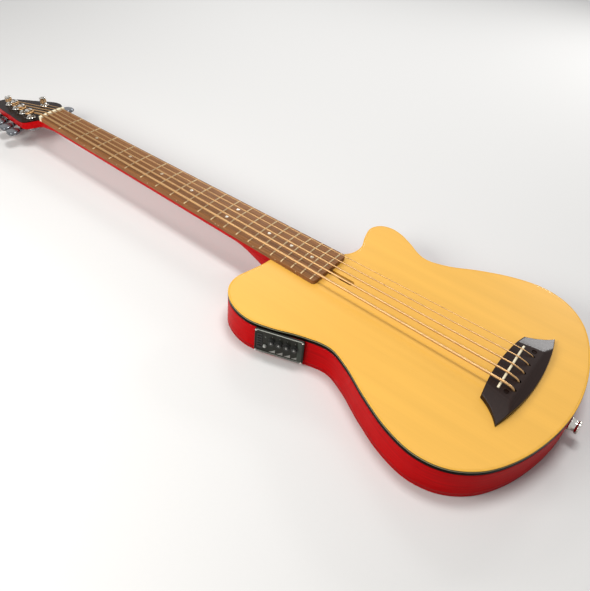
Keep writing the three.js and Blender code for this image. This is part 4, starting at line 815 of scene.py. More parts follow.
def finish_of(name):
    """The named finish, made the first time that a piece asks for it."""
    if name in FINISHES:
        return FINISHES[name]
    scene = bpy.context.scene
    body, neck, metals, panel = scene.bass_body, scene.bass_neck, scene.bass_metal, scene.bass_panel
    top, bare = tuple(body.top_colour), tuple(body.bare_colour)
    red, shade = tuple(body.red_colour), tuple(body.red_shade)
    makers = {
        "top": lambda: wood(
            "honey_spruce", top, shaded(top, 0.80), (7, 620, 620),
            contrast=0.30, rough=0.35, coat=0.8, shine=0.15),
        "red": lambda: wood(
            "red_mahogany", red, shade, (14, 520, 520),
            contrast=0.55, rough=0.4, coat=0.25, shine=0.02, pores=0.5),
        "red_side": lambda: wood(
            "red_side", red, shade, (14, 520, 520), layer="UV",
            contrast=0.55, rough=0.4, coat=0.18, shine=0.01, pores=0.4),
        "bare": lambda: wood(
            "bare_wood", bare, shaded(bare, 0.6), (12, 420, 420), rough=0.7, pores=0.3),
        "board": lambda: wood(
            "rosewood", tuple(neck.board_colour), shaded(neck.board_colour, 0.42), (16, 700, 700),
            contrast=0.75, rough=0.42, shine=0.12, pores=0.8),
        "dark": lambda: wood(
            "dark_wood", tuple(neck.bridge_colour), shaded(neck.bridge_colour, 0.4), (520, 16, 520),
            contrast=0.6, rough=0.42, coat=0.48, polish=0.22, shine=0.06, pores=0.6),
        "face": lambda: wood(
            "headstock_face", tuple(neck.face_colour), shaded(neck.face_colour, 0.5), (16, 520, 520),
            contrast=0.5, rough=0.4, coat=0.12, shine=0.03),
        "bone": lambda: plastic("bone", tuple(neck.bone_colour), 0.32, 260, 0.08, coat=0.3),
        "pearl": lambda: pearl_finish("pearl", tuple(neck.dot_colour)),
        "binding": lambda: binding_finish(body),
        "black": lambda: plastic("black_moulding", tuple(panel.knob_colour), 0.34, 800, 0.1),
        "panel": lambda: plastic("panel_moulding", tuple(panel.panel_colour), 0.42, 1400, 0.25, shine=0.2),
        "strip": lambda: plastic("panel_strip", screen(60, 65, 58), 0.45, 1200, 0.2, shine=0.2),
        # painted highlight: a light grey bead that stands in for light catching the panel's upper edge
        "rim": lambda: plastic("panel_rim", screen(178, 180, 170), 0.35, 1200, 0.1),
        "low_rim": lambda: plastic("panel_low_rim", screen(112, 114, 108), 0.45, 1200, 0.1, shine=0.2),
        "button": lambda: plastic("button_cap", screen(168, 170, 164), 0.3, 900, 0.05),
        "mark": lambda: plastic("pale_marks", tuple(panel.mark_colour), 0.5, 900, 0.05),
        "lamp": lambda: plastic("lamp_lens", screen(88, 90, 84), 0.15, 300, 0.02, coat=1.0),
        "chrome": lambda: metal("chrome", tuple(metals.chrome_colour), 0.08, wear=0.10),
        # painted reflection: a darker copy of chrome that stands in for dark surroundings mirrored in the
        # keys
        "key": lambda: metal("key_chrome_painted_dark", tuple(metals.key_painted_dark_colour), 0.12, wear=0.12),
        "worn_chrome": lambda: metal("satin_chrome", shaded(metals.chrome_colour, 0.8), 0.2, (30, 900, 900)),
        "fret": lambda: metal("fret_wire", tuple(metals.fret_colour), 0.36, (900, 30, 900)),
        "brass": lambda: metal("brass", tuple(metals.brass_colour), 0.28),
        "steel": lambda: metal("steel", screen(150, 150, 152), 0.3, (30, 700, 700)),
        "winding": lambda: winding_finish(metals),
    }
    FINISHES[name] = makers[name]()
    return FINISHES[name]


def dress(names, finish):
    """A better material on CAD nodes whose shape stays as it is."""
    for name in names:
        made = frame["nodes"][name]
        material = finish_of(finish)
        if not made.material_slots:
            made.data.materials.append(material)
        for slot in made.material_slots:
            slot.material = material


# The body's outline, and the pieces that follow it
def body_outline(count):
    """Spline through the outline's shares, kept inside the CAD's box, from its bass end to its treble end."""
    halves = {"upper": UPPER_BOUT / 2, "waist": WAIST / 2, "lower": LOWER_BOUT / 2}
    bass, treble = (
        [(SHOULDER_X + along * BODY_LENGTH, side * out * halves[bout]) for bout, along, out in shares]
        for side, shares in ((-1, BASS_EDGE_SHARES), (1, TREBLE_EDGE_SHARES))
    )
    half = float(board_half(JOINT_X))
    points = [(JOINT_X, -half), *bass, (TAIL_X, 0), *treble, (JOINT_X, half - JOINT_TREBLE_INSET)]
    low, high = box_mm("back_plate")
    return np.clip(evenly(curve_through(points), count), low[:2], high[:2])


def body_rings(outline, profile):
    """Rings of the body's outline, which is open where the neck joins it."""
    return layered(outline, profile, closed=False)


def side_wall(name, chain, levels, opening):
    """Outer face of a side: the outline's chain carried up through levels, with an opening left out,
    and coordinates that follow the wall. The wall gets its thickness inwards."""
    count, rows = len(chain), len(levels)
    grid = np.stack([np.column_stack([chain, np.full(count, level)]) for level in levels])
    faces = np.array(grid_faces(rows, count, wrap_columns=False))
    if opening is not None:
        row, column = np.divmod(faces[:, 0], count)
        faces = faces[~((row == 1) & (column >= opening[0]) & (column < opening[1]))]
    made = object_from(name, (grid.reshape(-1, 3), faces.tolist()), sharp=50, closed=False)
    travelled, heights = run_length(chain) * MM, np.asarray(levels) * MM
    lay_coordinates(made, lambda corners: (travelled[corners % count], heights[corners // count]))
    thick = made.modifiers.new("thickness", "SOLIDIFY")
    thick.thickness = SIDE_THICKNESS * MM
    thick.offset = -1
    thick.use_even_offset = True
    return made


def soundboard_shape(outline):
    """Plate inside the binding, with a slot behind the fingerboard that leads to the truss rod's nut."""
    profile = rounded_edge(BODY_DEPTH - TOP_THICKNESS, BODY_DEPTH, 0.1, 0.12, steps=3)
    profile[:, 0] += BINDING_WIDTH + 0.06
    slot_start, slot_end = BOARD_END - BOARD_CORNER, BOARD_END + ACCESS_LENGTH
    slot = rounded_box((slot_end - slot_start) / 2, ACCESS_WIDTH / 2, ACCESS_WIDTH / 2 - 0.01,
                       ((slot_start + slot_end) / 2, 0), 12)
    return plate(body_rings(outline, profile), [slot])


def binding_shape(outline, edge):
    """Band round the body's upper edge, with its outer rim rounded."""
    rise = rounded_edge(BODY_DEPTH - BINDING_HEIGHT, BODY_DEPTH, 0.3, edge, steps=7)
    inner = [[BINDING_WIDTH, BODY_DEPTH], [BINDING_WIDTH, BODY_DEPTH - BINDING_HEIGHT]]
    return loft(np.swapaxes(body_rings(outline, np.vstack([rise[1:], inner])), 0, 1))


def build_sides(outline, count):
    """Both sides, which meet at the tail; the bass one is open behind the preamp."""
    low, high = box_mm("back_plate")
    fine = np.clip(curve_through(outline, per_span=4), low[:2], high[:2])
    travelled = run_length(fine)
    tail = travelled[np.argmax(fine[:, 0])]
    panel = panel_frame()
    local = (fine - panel[:2, 3]) @ panel[:2, 0]
    flank = (travelled < tail) & (np.abs(local) < PREAMP_REACH) & (fine[:, 1] < 0)
    half_length, half_height = PREAMP_CUT_HALVES
    ends = np.interp([-half_length, half_length], local[flank], travelled[flank])
    half_gap = SEAT / 2
    bass_run = np.sort(np.concatenate([np.linspace(0, tail - half_gap, count), ends]))
    treble_run = np.linspace(tail + half_gap, travelled[-1], count)
    opening = tuple(int(np.searchsorted(bass_run, end - 1e-6)) for end in ends)
    middle = panel[2, 3]
    levels = (BACK_THICKNESS + SEAT, middle - half_height, middle + half_height,
              BODY_DEPTH - BINDING_HEIGHT - SEAT)
    for side, run, cut in (("bass", bass_run, opening), ("treble", treble_run, None)):
        wall = side_wall(f"{side}_side", at_lengths(fine, run), levels, cut)
        settle(wall, "red_side", replaces=[f"side_{side}"])


class BASS_OT_body(bpy.types.Operator):
    """Build the soundboard, back, sides and binding"""
    bl_idname = "bass.body"
    bl_label = "Body"

    def execute(self, context):
        look = context.scene.bass_body
        outline = body_outline(look.outline_points)
        back = plate(body_rings(outline, rounded_edge(0, BACK_THICKNESS, look.back_round / MM, 0.05)))
        piece("back", back, "red", "red_wood", replaces=["back_plate"])
        piece("top", soundboard_shape(outline), "top", "top_wood", replaces=["soundboard"])
        binding = binding_shape(outline, look.edge_round / MM)
        piece("edge_binding", binding, "binding", "black_plastic", replaces=["top_binding"])
        build_sides(outline, look.outline_points // 2)
        return {"FINISHED"}


class BASS_OT_inside(bpy.types.Operator):
    """Finish the blocks, linings and braces inside the body"""
    bl_idname = "bass.inside"
    bl_label = "Inside of the body"

    def execute(self, context):
        dress((
            "neck_block", "tail_block", "top_lining_bass", "top_lining_treble", "back_lining_bass",
            "back_lining_treble", "x_brace", "back_brace_1", "back_brace_2", "bridge_plate",
        ), "bare")
        return {"FINISHED"}


def neck_shaft():
    """Rings across the neck: a half ellipse of the board's width under a flat top, which deepens into
    the heel and squares up into the headstock's root."""
    x = np.concatenate([
        np.linspace(NECK_START - 22, NECK_START + 40, 40),
        np.linspace(NECK_START + 50, JOINT_X - HEEL_LENGTH, 40),
        np.linspace(JOINT_X - HEEL_LENGTH + 2, JOINT_X - SEAT, 44),
    ])
    along = np.clip((x - NUT_X) / (JOINT_X - HEEL_LENGTH - NUT_X), 0, 1)
    plain = NECK_DEPTH + NECK_DEPTH_GAIN * along
    heel = smooth(x, JOINT_X - HEEL_LENGTH, JOINT_X)
    wood_depth = plain + (BODY_DEPTH - 1.5 - plain) * heel
    slab = (x - NECK_START) * np.tan(HEAD_TILT) + HEAD_Z
    top = np.where(x < NECK_START, slab + (HEAD_WOOD_TOP - 0.4) / np.cos(HEAD_TILT), BODY_DEPTH)
    level = smooth(x, NECK_START - 20, NECK_START + 26)
    low = (BODY_DEPTH - wood_depth) * level + (slab + (HEAD_BACK + 0.25) / np.cos(HEAD_TILT)) * (1 - level)
    square = 1 - smooth(x, NECK_START - 4, NECK_START + 38)
    across_power = 1 - 0.78 * square
    down_power = 0.85 - 0.63 * square
    angle = np.linspace(0, pi, 41)[None, :]
    lean = np.cos(angle)
    half = board_half(np.maximum(x, NECK_START))[:, None] - 0.25 * (x < NECK_START)[:, None]
    y = half * np.sign(lean) * np.abs(lean) ** across_power[:, None]
    z = top[:, None] - (top - low)[:, None] * np.sin(angle) ** down_power[:, None]
    return surface(x[:, None], y, z)


def head_outline(start):
    """Spline through the headstock's shares, closed by its root behind the nut."""
    half = float(board_half(NECK_START))
    points = [(-start, -half)] + [(-along * HEAD_LENGTH, out * HEAD_HALF_WIDTH) for along, out in HEAD_SHARES]
    points.append((-start, half))
    low, high = box_mm("head_plate")
    outline = evenly(curve_through(points), HEAD_OUTLINE_POINTS)
    tip = (low[0] - NECK_START) / np.cos(HEAD_TILT)
    return np.clip(outline, (tip, low[1]), (0, high[1]))[::-1]


def post_places():
    """Where the posts cross the headstock, in its own frame."""
    posts = np.array([JOINTS[f"tuner_post_{number}_turn"]["pos_m"] for number in range(1, 6)]) / MM
    return ((posts - HEAD_FRAME[:3, 3]) @ HEAD_FRAME[:3, :3])[:, :2]


class BASS_OT_neck(bpy.types.Operator):
    """Build the neck with its heel and headstock, the headstock's face and the truss rod"""
    bl_idname = "bass.neck"
    bl_label = "Neck and headstock"

    def execute(self, context):
        holes = [circle(BUSHING_HOLE_RADIUS, place)[::-1] for place in post_places()]
        slab = plate(layered(head_outline(0.1), rounded_edge(HEAD_BACK, HEAD_WOOD_TOP, 1.8, 0.4)), holes)
        low, high = BODY_DEPTH - 40, BODY_DEPTH - 4
        tenon = block((JOINT_X - 6, -TENON_HALF_WIDTH, low), (JOINT_X + 24, TENON_HALF_WIDTH, high), 0.5)
        neck = joined(neck_shaft(), moved(slab, HEAD_FRAME), tenon)
        piece("neck_wood", neck, "red", "red_wood", replaces=["neck"], sharp=40)
        face = plate(layered(head_outline(0.6), rounded_edge(-HEAD_PLATE, 0, 0.1, 0.45)), holes)
        piece("headstock_face", moved(face, HEAD_FRAME), "face", "dark_wood", replaces=["head_plate"])
        dress(["truss_rod"], "steel")
        dress(["truss_rod_nut"], "brass")
        return {"FINISHED"}


def fret_wires(height):
    """Every fret: a half ellipse crown over the board's camber, its ends bevelled down."""
    x = fret_x(np.arange(1, FRET_COUNT + 1))
    half = board_half(x) - 0.6
    share = np.array([-1, -0.985, -0.96, -0.6, -0.3, 0, 0.3, 0.6, 0.96, 0.985, 1])
    crown = np.array([0.1, 0.6, 1, 1, 1, 1, 1, 1, 1, 0.6, 0.1]) * height
    angle = np.linspace(0, pi, 9)
    along = np.concatenate([1.2 * np.cos(angle), [-1.2, 1.2]])
    up = np.concatenate([np.sin(angle), [0, 0]])
    foot = np.concatenate([np.zeros(9), [-0.8, -0.8]])
    y = half[:, None] * share[None, :]
    base = BOARD_TOP - camber(y)
    shape = (FRET_COUNT, len(share), len(along))
    rings = np.stack([
        np.broadcast_to(x[:, None, None] + along, shape),
        np.broadcast_to(y[:, :, None], shape),
        base[:, :, None] + foot + up * crown[None, :, None],
    ], axis=3)
    return joined(*[loft(fret) for fret in rings])


def fingerboard_shape(edge):
    """Rings across the board: a flat underside, rounded edges and a cambered face, with rounded end
    corners."""
    turn = np.linspace(0, pi / 2, 10)
    x = np.concatenate([np.linspace(NUT_X, BOARD_END - BOARD_CORNER - 1, 60),
                        BOARD_END - BOARD_CORNER + BOARD_CORNER * np.sin(turn)])
    pull = np.concatenate([np.zeros(60), BOARD_CORNER * (1 - np.cos(turn))])
    half = (board_half(x) - pull)[:, None]
    bend = np.linspace(0, pi / 2, 5)
    share = np.linspace(1, -1, 17)[None, :]
    crown_y = share * (half - edge)
    crown_z = BOARD_TOP - camber(crown_y)
    side_z = BOARD_TOP - camber(half) - edge + edge * np.sin(bend)[None, :]
    side_y = half - edge + edge * np.cos(bend)[None, :]
    foot = np.full_like(half, BOARD_LOW)
    y = np.hstack([-half, half, side_y[:, :-1], crown_y, -side_y[:, -2::-1]])
    z = np.hstack([foot, foot, side_z[:, :-1], crown_z, side_z[:, -2::-1]])
    return surface(x[:, None], y, z)


def dome(radius, height, depth):
    """Low dome over a short plug."""
    angle = np.linspace(0, pi / 2, 6)
    cap = np.column_stack([radius * np.cos(angle), height * np.sin(angle)])
    return lathe(np.vstack([[[radius, -depth]], cap]), 28)


class BASS_OT_fingerboard(bpy.types.Operator):
    """Build the fingerboard with its frets and dots, and the nut"""
    bl_idname = "bass.fingerboard"
    bl_label = "Fingerboard and nut"

    def execute(self, context):
        look = context.scene.bass_neck
        board = fingerboard_shape(look.board_round / MM)
        piece("board", board, "board", "board_wood", replaces=["fingerboard"], sharp=50)
        piece("frets", fret_wires(look.fret_height / MM), "fret", "steel", sharp=60)
        octave = fret_middle(OCTAVE_FRET)
        places = [(fret_middle(number), 0) for number in FACE_DOT_FRETS]
        places += [(octave, side * OCTAVE_DOT_Y) for side in (-1, 1)]
        dots = [shifted(dome(look.dot_radius / MM, 0.12, 1), x, y, BOARD_TOP - float(camber(y)) + 0.02)
                for x, y in places]
        piece("face_dots", joined(*dots), "pearl", "bone")
        mark = moved(dome(look.side_dot_radius / MM, 0.08, 0.8), upright())
        middle = (BOARD_LOW + BOARD_TOP) / 2 + 0.4
        along = sorted([fret_middle(number) for number in FACE_DOT_FRETS]
                       + [octave - OCTAVE_MARK_X, octave + OCTAVE_MARK_X])
        marks = [shifted(mark, x, -float(board_half(x)) + 0.05, middle) for x in along]
        piece("side_dots", joined(*marks), "pearl", "bone")
        piece("nut_bone", nut_shape(), "bone", "bone", replaces=["nut"], sharp=50)
        return {"FINISHED"}


def string_ys(spread_width):
    """The five strings' places across the neck, evenly spaced."""
    return np.linspace(-spread_width / 2, spread_width / 2, 5)


def nut_shape():
    """Rings along the nut: a rounded top that falls off to its ends and dips in a slot at each string."""
    low, high = box_mm("nut")
    y = np.linspace(low[1], high[1], 181)
    slots = string_ys(NUT_SPREAD)
    halves = np.array(STRING_DIAMETERS) / 2 + 0.3
    floor = FRET_PLANE + NUT_RISE - camber(slots)
    away = np.abs(y[:, None] - slots[None, :])
    roof = high[2] - 0.9 * (np.abs(y) / high[1]) ** 6 - 0.4 * camber(y)
    cut = np.where(away < halves, np.minimum(floor, roof[:, None]), roof[:, None]).min(axis=1)
    share = np.array([0, 0, 0.06, 0.2, 0.5, 0.8, 0.94, 1, 1])
    drop = np.array([1e3, 1.3, 0.6, 0.2, 0, 0.2, 0.6, 1.3, 1e3])
    x = low[0] + (high[0] - low[0]) * share
    z = np.maximum(cut[:, None] - drop[None, :] * np.clip((cut - low[2]) / 8, 0, 1)[:, None], low[2])
    return surface(x[None, :], y[:, None], z)


def saddle_x(y):
    """The saddle's middle line, which slants evenly across the strings."""
    return BRIDGE_MIDDLE - SADDLE_SLANT * np.asarray(y, float) / SADDLE_LENGTH


def saddle_top(y):
    """The saddle's top follows the fingerboard's camber, one rise higher."""
    return FRET_PLANE + SADDLE_RISE - camber(y)


def saddle_shape():
    """Rings along the saddle's slanting line: straight walls under a rounded top that follows the camber."""
    y = np.linspace(-SADDLE_LENGTH / 2, SADDLE_LENGTH / 2, 41)
    low = box_mm("saddle")[0][2]
    angle = np.linspace(0, pi, 9)
    across = np.concatenate([[1], np.cos(angle), [-1]]) * SADDLE_THICKNESS / 2
    roundness = 0.9
    end = np.clip((SADDLE_LENGTH / 2 - np.abs(y)) / 1.5, 0, 1)
    top = saddle_top(y) - 0.8 * (1 - end) ** 2
    lift = np.concatenate([[0], np.sin(angle), [0]]) * roundness
    z = (top - roundness)[:, None] + lift[None, :]
    z[:, 0] = z[:, -1] = low
    return surface(saddle_x(y)[:, None] + across[None, :], y[:, None], z)


def bridge_points(y, radius):
    """Where a string bends over the saddle, the mouth of its hole and its end in the hole."""
    bend = np.array([saddle_x(y) + SADDLE_THICKNESS / 2, y, saddle_top(y) + SEAT + radius])
    mouth = np.array([bend[0] + HOLE_BEHIND, y, BRIDGE_TOP + SEAT + radius])
    run = np.array([np.cos(HOLE_SLOPE), 0, -np.sin(HOLE_SLOPE)])
    return bend, mouth, run, mouth + HOLE_DEPTH * run


def bridge_shape():
    """Rows across the bridge between its front and rear edges. Its top is the lowest of a flat, two
    wings that slope down to the tips and a bevel along the rear, with soft edges."""
    tip, corner = BRIDGE_TIP_X, BRIDGE_CORNER_X
    hollow_x, hollow_y = (corner + tip) / 2 + 4, (BRIDGE_FRONT_HALF + BRIDGE_HALF) / 2 - 4
    t = np.linspace(0, 1, 60)
    bow = np.array([(1 - t) ** 2, 2 * t * (1 - t), t ** 2])
    front = bow.T @ np.array([[corner, -BRIDGE_FRONT_HALF], [2 * BRIDGE_FRONT - corner, 0],
                              [corner, BRIDGE_FRONT_HALF]])
    hollow = bow.T @ np.array([[tip, -BRIDGE_HALF], [hollow_x, -hollow_y], [corner, -BRIDGE_FRONT_HALF]])
    fore = np.vstack([hollow[:-1], front, (hollow * (1, -1))[::-1][1:]])
    rear = bow.T @ np.array([[tip, -BRIDGE_HALF], [2 * BRIDGE_REAR - tip, 0], [tip, BRIDGE_HALF]])
    y = np.sort(np.concatenate([
        np.linspace(-BRIDGE_HALF + 0.15, BRIDGE_HALF - 0.15, 141), [-BRIDGE_FRONT_HALF, BRIDGE_FRONT_HALF],
    ]))
    x_fore, x_rear = np.interp(y, fore[:, 1], fore[:, 0]), np.interp(y, rear[:, 1], rear[:, 0])
    width = x_rear - x_fore
    margin = np.minimum(0.9, width / 4)
    x_fore, x_rear, width, margin, y = (line[:, None] for line in (x_fore, x_rear, width, margin, y))
    turn = np.linspace(0, pi / 2, 5)[None, :-1]
    inner = x_fore + margin + (width - 2 * margin) * np.linspace(0, 1, 27)[None, :]
    inset, soft = margin * (1 - np.cos(turn)), margin * (1 - np.sin(turn))
    x = np.hstack([x_fore, x_fore + inset, inner, x_rear - inset[:, ::-1], x_rear])
    flat = np.zeros_like(y)
    drop = np.hstack([flat, soft, np.zeros_like(inner), soft[:, ::-1], flat])
    wing = (np.abs(y) - WING_START - WING_SKEW * (x - BRIDGE_MIDDLE)) * np.cos(np.arctan(WING_SKEW))
    slope = np.maximum(wing, 0) * WING_DROP / WING_RUN
    bevel = np.maximum(x - (BRIDGE_REAR - BEVEL_LENGTH), 0) * BEVEL_DROP / BEVEL_LENGTH
    both = np.maximum(slope, bevel)
    easing = 0.25 * np.exp(-np.abs(slope - bevel) * 4) * (both > 0.2)
    z = np.maximum(BRIDGE_TOP - both - easing - drop, BRIDGE_LOW + 0.6)
    z[:, 0] = z[:, -1] = BRIDGE_LOW
    return surface(x, y, z)


def bridge_cutters():
    """The five string holes, the two round hollows over the dots and the saddle's slot."""
    cutters = []
    for y, diameter in zip(string_ys(SADDLE_SPREAD), STRING_DIAMETERS):
        _, mouth, run, end = bridge_points(y, diameter / 2)
        path = np.array([mouth - 6 * run, mouth, end + 0.4 * run]) + (0.8, 0, 0)
        cutters.append(loft(sweep(path, diameter / 2 + 1.1, 20)))
    hollow = lathe([[0, -1.1], [3.4, -1.1], [3.4, 2], [0, 2]], 36)
    cutters += [shifted(hollow, x, y, BRIDGE_TOP) for x, y in BRIDGE_DOTS]
    ends = np.array([-1, 1]) * (SADDLE_LENGTH / 2 + SEAT)
    side = SADDLE_THICKNESS / 2 + SEAT
    low, high = BRIDGE_TOP - 6, 64
    slot = [[[x - side, y, low], [x + side, y, low], [x + side, y, high], [x - side, y, high]]
            for x, y in zip(saddle_x(ends), ends)]
    return joined(*cutters, loft(slot))


class BASS_OT_bridge(bpy.types.Operator):
    """Build the bridge with its string holes and dots, the saddle and the pickup under it"""
    bl_idname = "bass.bridge"
    bl_label = "Bridge and saddle"

    def execute(self, context):
        bridge = object_from("bridge_wood", bridge_shape(), sharp=28)
        carve(bridge, bridge_cutters(), sharp=28)
        settle(bridge, "dark", replaces=["bridge"])
        caps = [shifted(dome(2.5, 0.3, 0.3), x, y, BRIDGE_TOP - 0.9) for x, y in BRIDGE_DOTS]
        piece("bridge_dots", joined(*caps), "face", "dark_wood")
        piece("saddle_bone", saddle_shape(), "bone", "bone", replaces=["saddle"], sharp=50)
        dress(["saddle_pickup"], "brass")
        return {"FINISHED"}


def eased(points, corners):
    """The chain with some corners rounded: each becomes a parabola between points on its two sides."""
    t = np.linspace(0, 1, 6)[:, None]
    parts, last = [], 0
    for corner in corners:
        middle = points[corner]
        toward = points[corner - 1] - middle
        onward = points[corner + 1] - middle
        start = middle + toward / np.linalg.norm(toward) * STRING_BEND_REACH
        end = middle + onward / np.linalg.norm(onward) * STRING_BEND_REACH
        parts += [points[last:corner], (1 - t) ** 2 * start + 2 * t * (1 - t) * middle + t ** 2 * end]
        last = corner + 1
    return np.vstack([*parts, points[last:]])


def string_path(index):
    """From the hole in the bridge over the saddle and nut, then a helix up the post."""
    diameter, turns = STRING_DIAMETERS[index], STRING_TURNS[index]
    radius = diameter / 2
    bend, mouth, _, end = bridge_points(string_ys(SADDLE_SPREAD)[index], radius)
    nut_y = string_ys(NUT_SPREAD)[index]
    over = np.array([NUT_X - NUT_LENGTH, nut_y, FRET_PLANE + NUT_RISE - float(camber(nut_y)) + SEAT + radius])
    post = post_places()[index]
    start = (over - HEAD_FRAME[:3, 3]) @ HEAD_FRAME[:3, :3]
    side = -1 if index == 4 else 1
    around = POST_WAIST + SEAT + radius
    run = start[:2] - post
    first = np.arctan2(run[1], run[0]) + side * np.arccos(around / np.linalg.norm(run))
    steps = int(round(turns * 36))
    share = np.linspace(0, 1, steps + 1)
    angle = first + side * 2 * pi * turns * share
    height = COIL_START + radius + (diameter + COIL_GAP) * turns * share
    coil = np.column_stack([post[0] + around * np.cos(angle), post[1] + around * np.sin(angle), height])
    leave = coil[-1] - coil[-2]
    leave[2] = 0
    tail = coil[-1] + leave / np.linalg.norm(leave) * diameter
    wound = np.vstack([coil, tail]) @ HEAD_FRAME[:3, :3].T + HEAD_FRAME[:3, 3]
    return eased(np.vstack([end, mouth, bend, over, wound]), (1, 2, 3))


def long_runs_divided(path):
    """The path with more points on its long straight runs."""
    travelled = run_length(path)
    starts = np.flatnonzero(np.diff(travelled) > 40)
    extra = [np.linspace(travelled[start], travelled[start + 1], 12)[1:-1] for start in starts]
    return at_lengths(path, np.sort(np.concatenate([travelled, *extra])))


class BASS_OT_strings(bpy.types.Operator):
    """Build the five wound strings from the bridge to their posts"""
    bl_idname = "bass.strings"
    bl_label = "Strings"

    def execute(self, context):
        for index, diameter in enumerate(STRING_DIAMETERS):
            path = long_runs_divided(string_path(index))
            tube = loft(sweep(path, diameter / 2, STRING_SIDES, HEAD_FRAME[:3, 2]))
            made = object_from(f"wound_string_{index + 1}", tube, sharp=50)
            along = run_length(path) * MM
            lay_coordinates(made, lambda corners: (
                along[np.minimum(corners // STRING_SIDES, len(along) - 1)],
                (corners % STRING_SIDES) / STRING_SIDES))
            settle(made, "winding", replaces=[f"string_{index + 1}"])
        return {"FINISHED"}


def post_shape():
    """Turned post: straight barrel, flange, hollow waist and a domed head with a ring."""
    waist = np.linspace(0, 1, 9)
    curve = np.column_stack([
        POST_WAIST + (POST_HEAD - POST_WAIST) * (2 * waist - 1) ** 8, 4 + (POST_HEIGHT - 5.4) * waist,
    ])
    profile = np.vstack([
        [[0, GEAR_LOW], [POST_RADIUS, GEAR_LOW], [POST_RADIUS, 3.3], [POST_HEAD, 3.3], [POST_HEAD, 3.9]],
        curve,
        [[POST_HEAD, POST_HEIGHT - 0.9], [POST_HEAD, POST_HEIGHT - 0.5], [5.5, POST_HEIGHT - 0.2],
         [4.9, POST_HEIGHT], [0, POST_HEIGHT]],
    ])
    return lathe(profile, 40)


def gear_shape():
    """Gear: twenty rounded teeth, as a cosine of the angle with its crests and roots flattened."""
    def teeth(angle, height, radius):
        wave = np.tanh(2.2 * np.cos(GEAR_TEETH * angle + 0.12 * (height - GEAR_LOW)))
        return np.where(radius > 8, 0.55 * wave - 0.55, 0.0)

    profile = [
        [4.4, GEAR_LOW], [8.6, GEAR_LOW], [GEAR_RADIUS, GEAR_LOW + 0.4], [GEAR_RADIUS, GEAR_TOP - 0.4],
        [8.6, GEAR_TOP], [4.4, GEAR_TOP], [4.4, GEAR_LOW],
    ]
    return lathe(profile, 160, teeth)


def bushing_shape():
    """Sleeve round the post with a stepped collar on the headstock's face."""
    profile = [
        [POST_BORE, -8], [6, -8], [6, SEAT], [7.8, SEAT], [8, 0.5], [8, 1.6], [7.6, 2.0], [7.0, 2.2],
        [6.8, 2.6], [6.0, 2.95], [5.2, BUSHING_TOP], [POST_BORE, BUSHING_TOP], [POST_BORE, -8],
    ]
    return lathe(profile, 48)


def key_shape():
    """Key along Z with its worm about the origin: a thread whose crest climbs one pitch a turn, its
    shaft, a collar and a cushioned paddle."""
    def thread(angle, height, radius):
        inside = smooth(6.4 - np.abs(height), 0, 0.8)
        wave = np.tanh(1.6 * np.cos(angle - 2 * pi * height / WORM_PITCH))
        return np.where(radius > 2.9, 0.5 * wave * inside, 0.0)

    worm = np.column_stack([np.full(60, 3.15), np.linspace(-WORM_HALF, WORM_HALF, 60)])
    shaft = np.vstack([
        [[0, -9.8], [2.0, -9.8], [2.3, -9.5], [2.3, -WORM_HALF]], worm,
        [[2.3, WORM_HALF], [2.3, 18.6], [3.2, 18.8], [3.6, 19.2], [3.6, 20.2], [3.2, 20.5], [3.2, 20.9],
         [3.6, 21.3], [3.4, 22.6], [2.6, 24.2], [0, 24.2]],
    ])
    corners = np.array(KEY_SHARES) * (KEY_HALF_WIDTH, KEY_LENGTH) + (0, KEY_REACH)
    outline = curve_through(corners, closed=True, per_span=6)
    turn = np.linspace(0, pi / 2, 6)
    inset, rise = 2.4 * (1 - np.sin(turn)), KEY_HALF_DEPTH * np.cos(turn)
    profile = np.vstack([
        [[2.9, -KEY_HALF_DEPTH]], np.column_stack([inset, -rise]), np.column_stack([inset, rise])[-2::-1],
        [[2.9, KEY_HALF_DEPTH]],
    ])
    return joined(lathe(shaft, 32, thread), moved(plate(layered(outline, profile)), upright()))


def screw_shape(radius, height):
    """Low domed head with a cross sunk into it, as a height over rings and spokes."""
    rings = np.array([1.0, 1.0, 0.82, 0.6, 0.42, 0.22, 0.05])
    angle = np.linspace(0, 2 * pi, 24, endpoint=False)
    x = radius * rings[:, None] * np.cos(angle)[None, :]
    y = radius * rings[:, None] * np.sin(angle)[None, :]
    z = height * np.sqrt(np.clip(1 - 0.8 * rings ** 2, 0, 1))[:, None]
    z[0] = -0.4
    cross = (np.minimum(np.abs(x), np.abs(y)) < 0.17 * radius) & (rings[:, None] < 0.7)
    return surface(x, y, np.where(cross, z - 0.45 * height, z))


def tuner_plate_shape():
    """Plate with a hole for the post and a window over the worm, and two rounded ears."""
    outline = rounded_box(14.25, 10.5, 2.5, (-4.25, 0))
    window = rounded_box(4, 6.6, 0.6, (WORM_X, 0), 4)
    base = plate(layered(outline, rounded_edge(PLATE_LOW, PLATE_TOP, 0.5, 0.05)),
                 [circle(POST_BORE)[::-1], window[::-1]])
    ear = plate(layered(rounded_box(4.4, 4.2, 2.6, (WORM_X, SHAFT_Z + 0.25)),
                        rounded_edge(0, 2, 0.35, 0.35, steps=3)))
    return joined(base, *[moved(ear, upright((0, y, 0))) for y in EAR_PLACES])


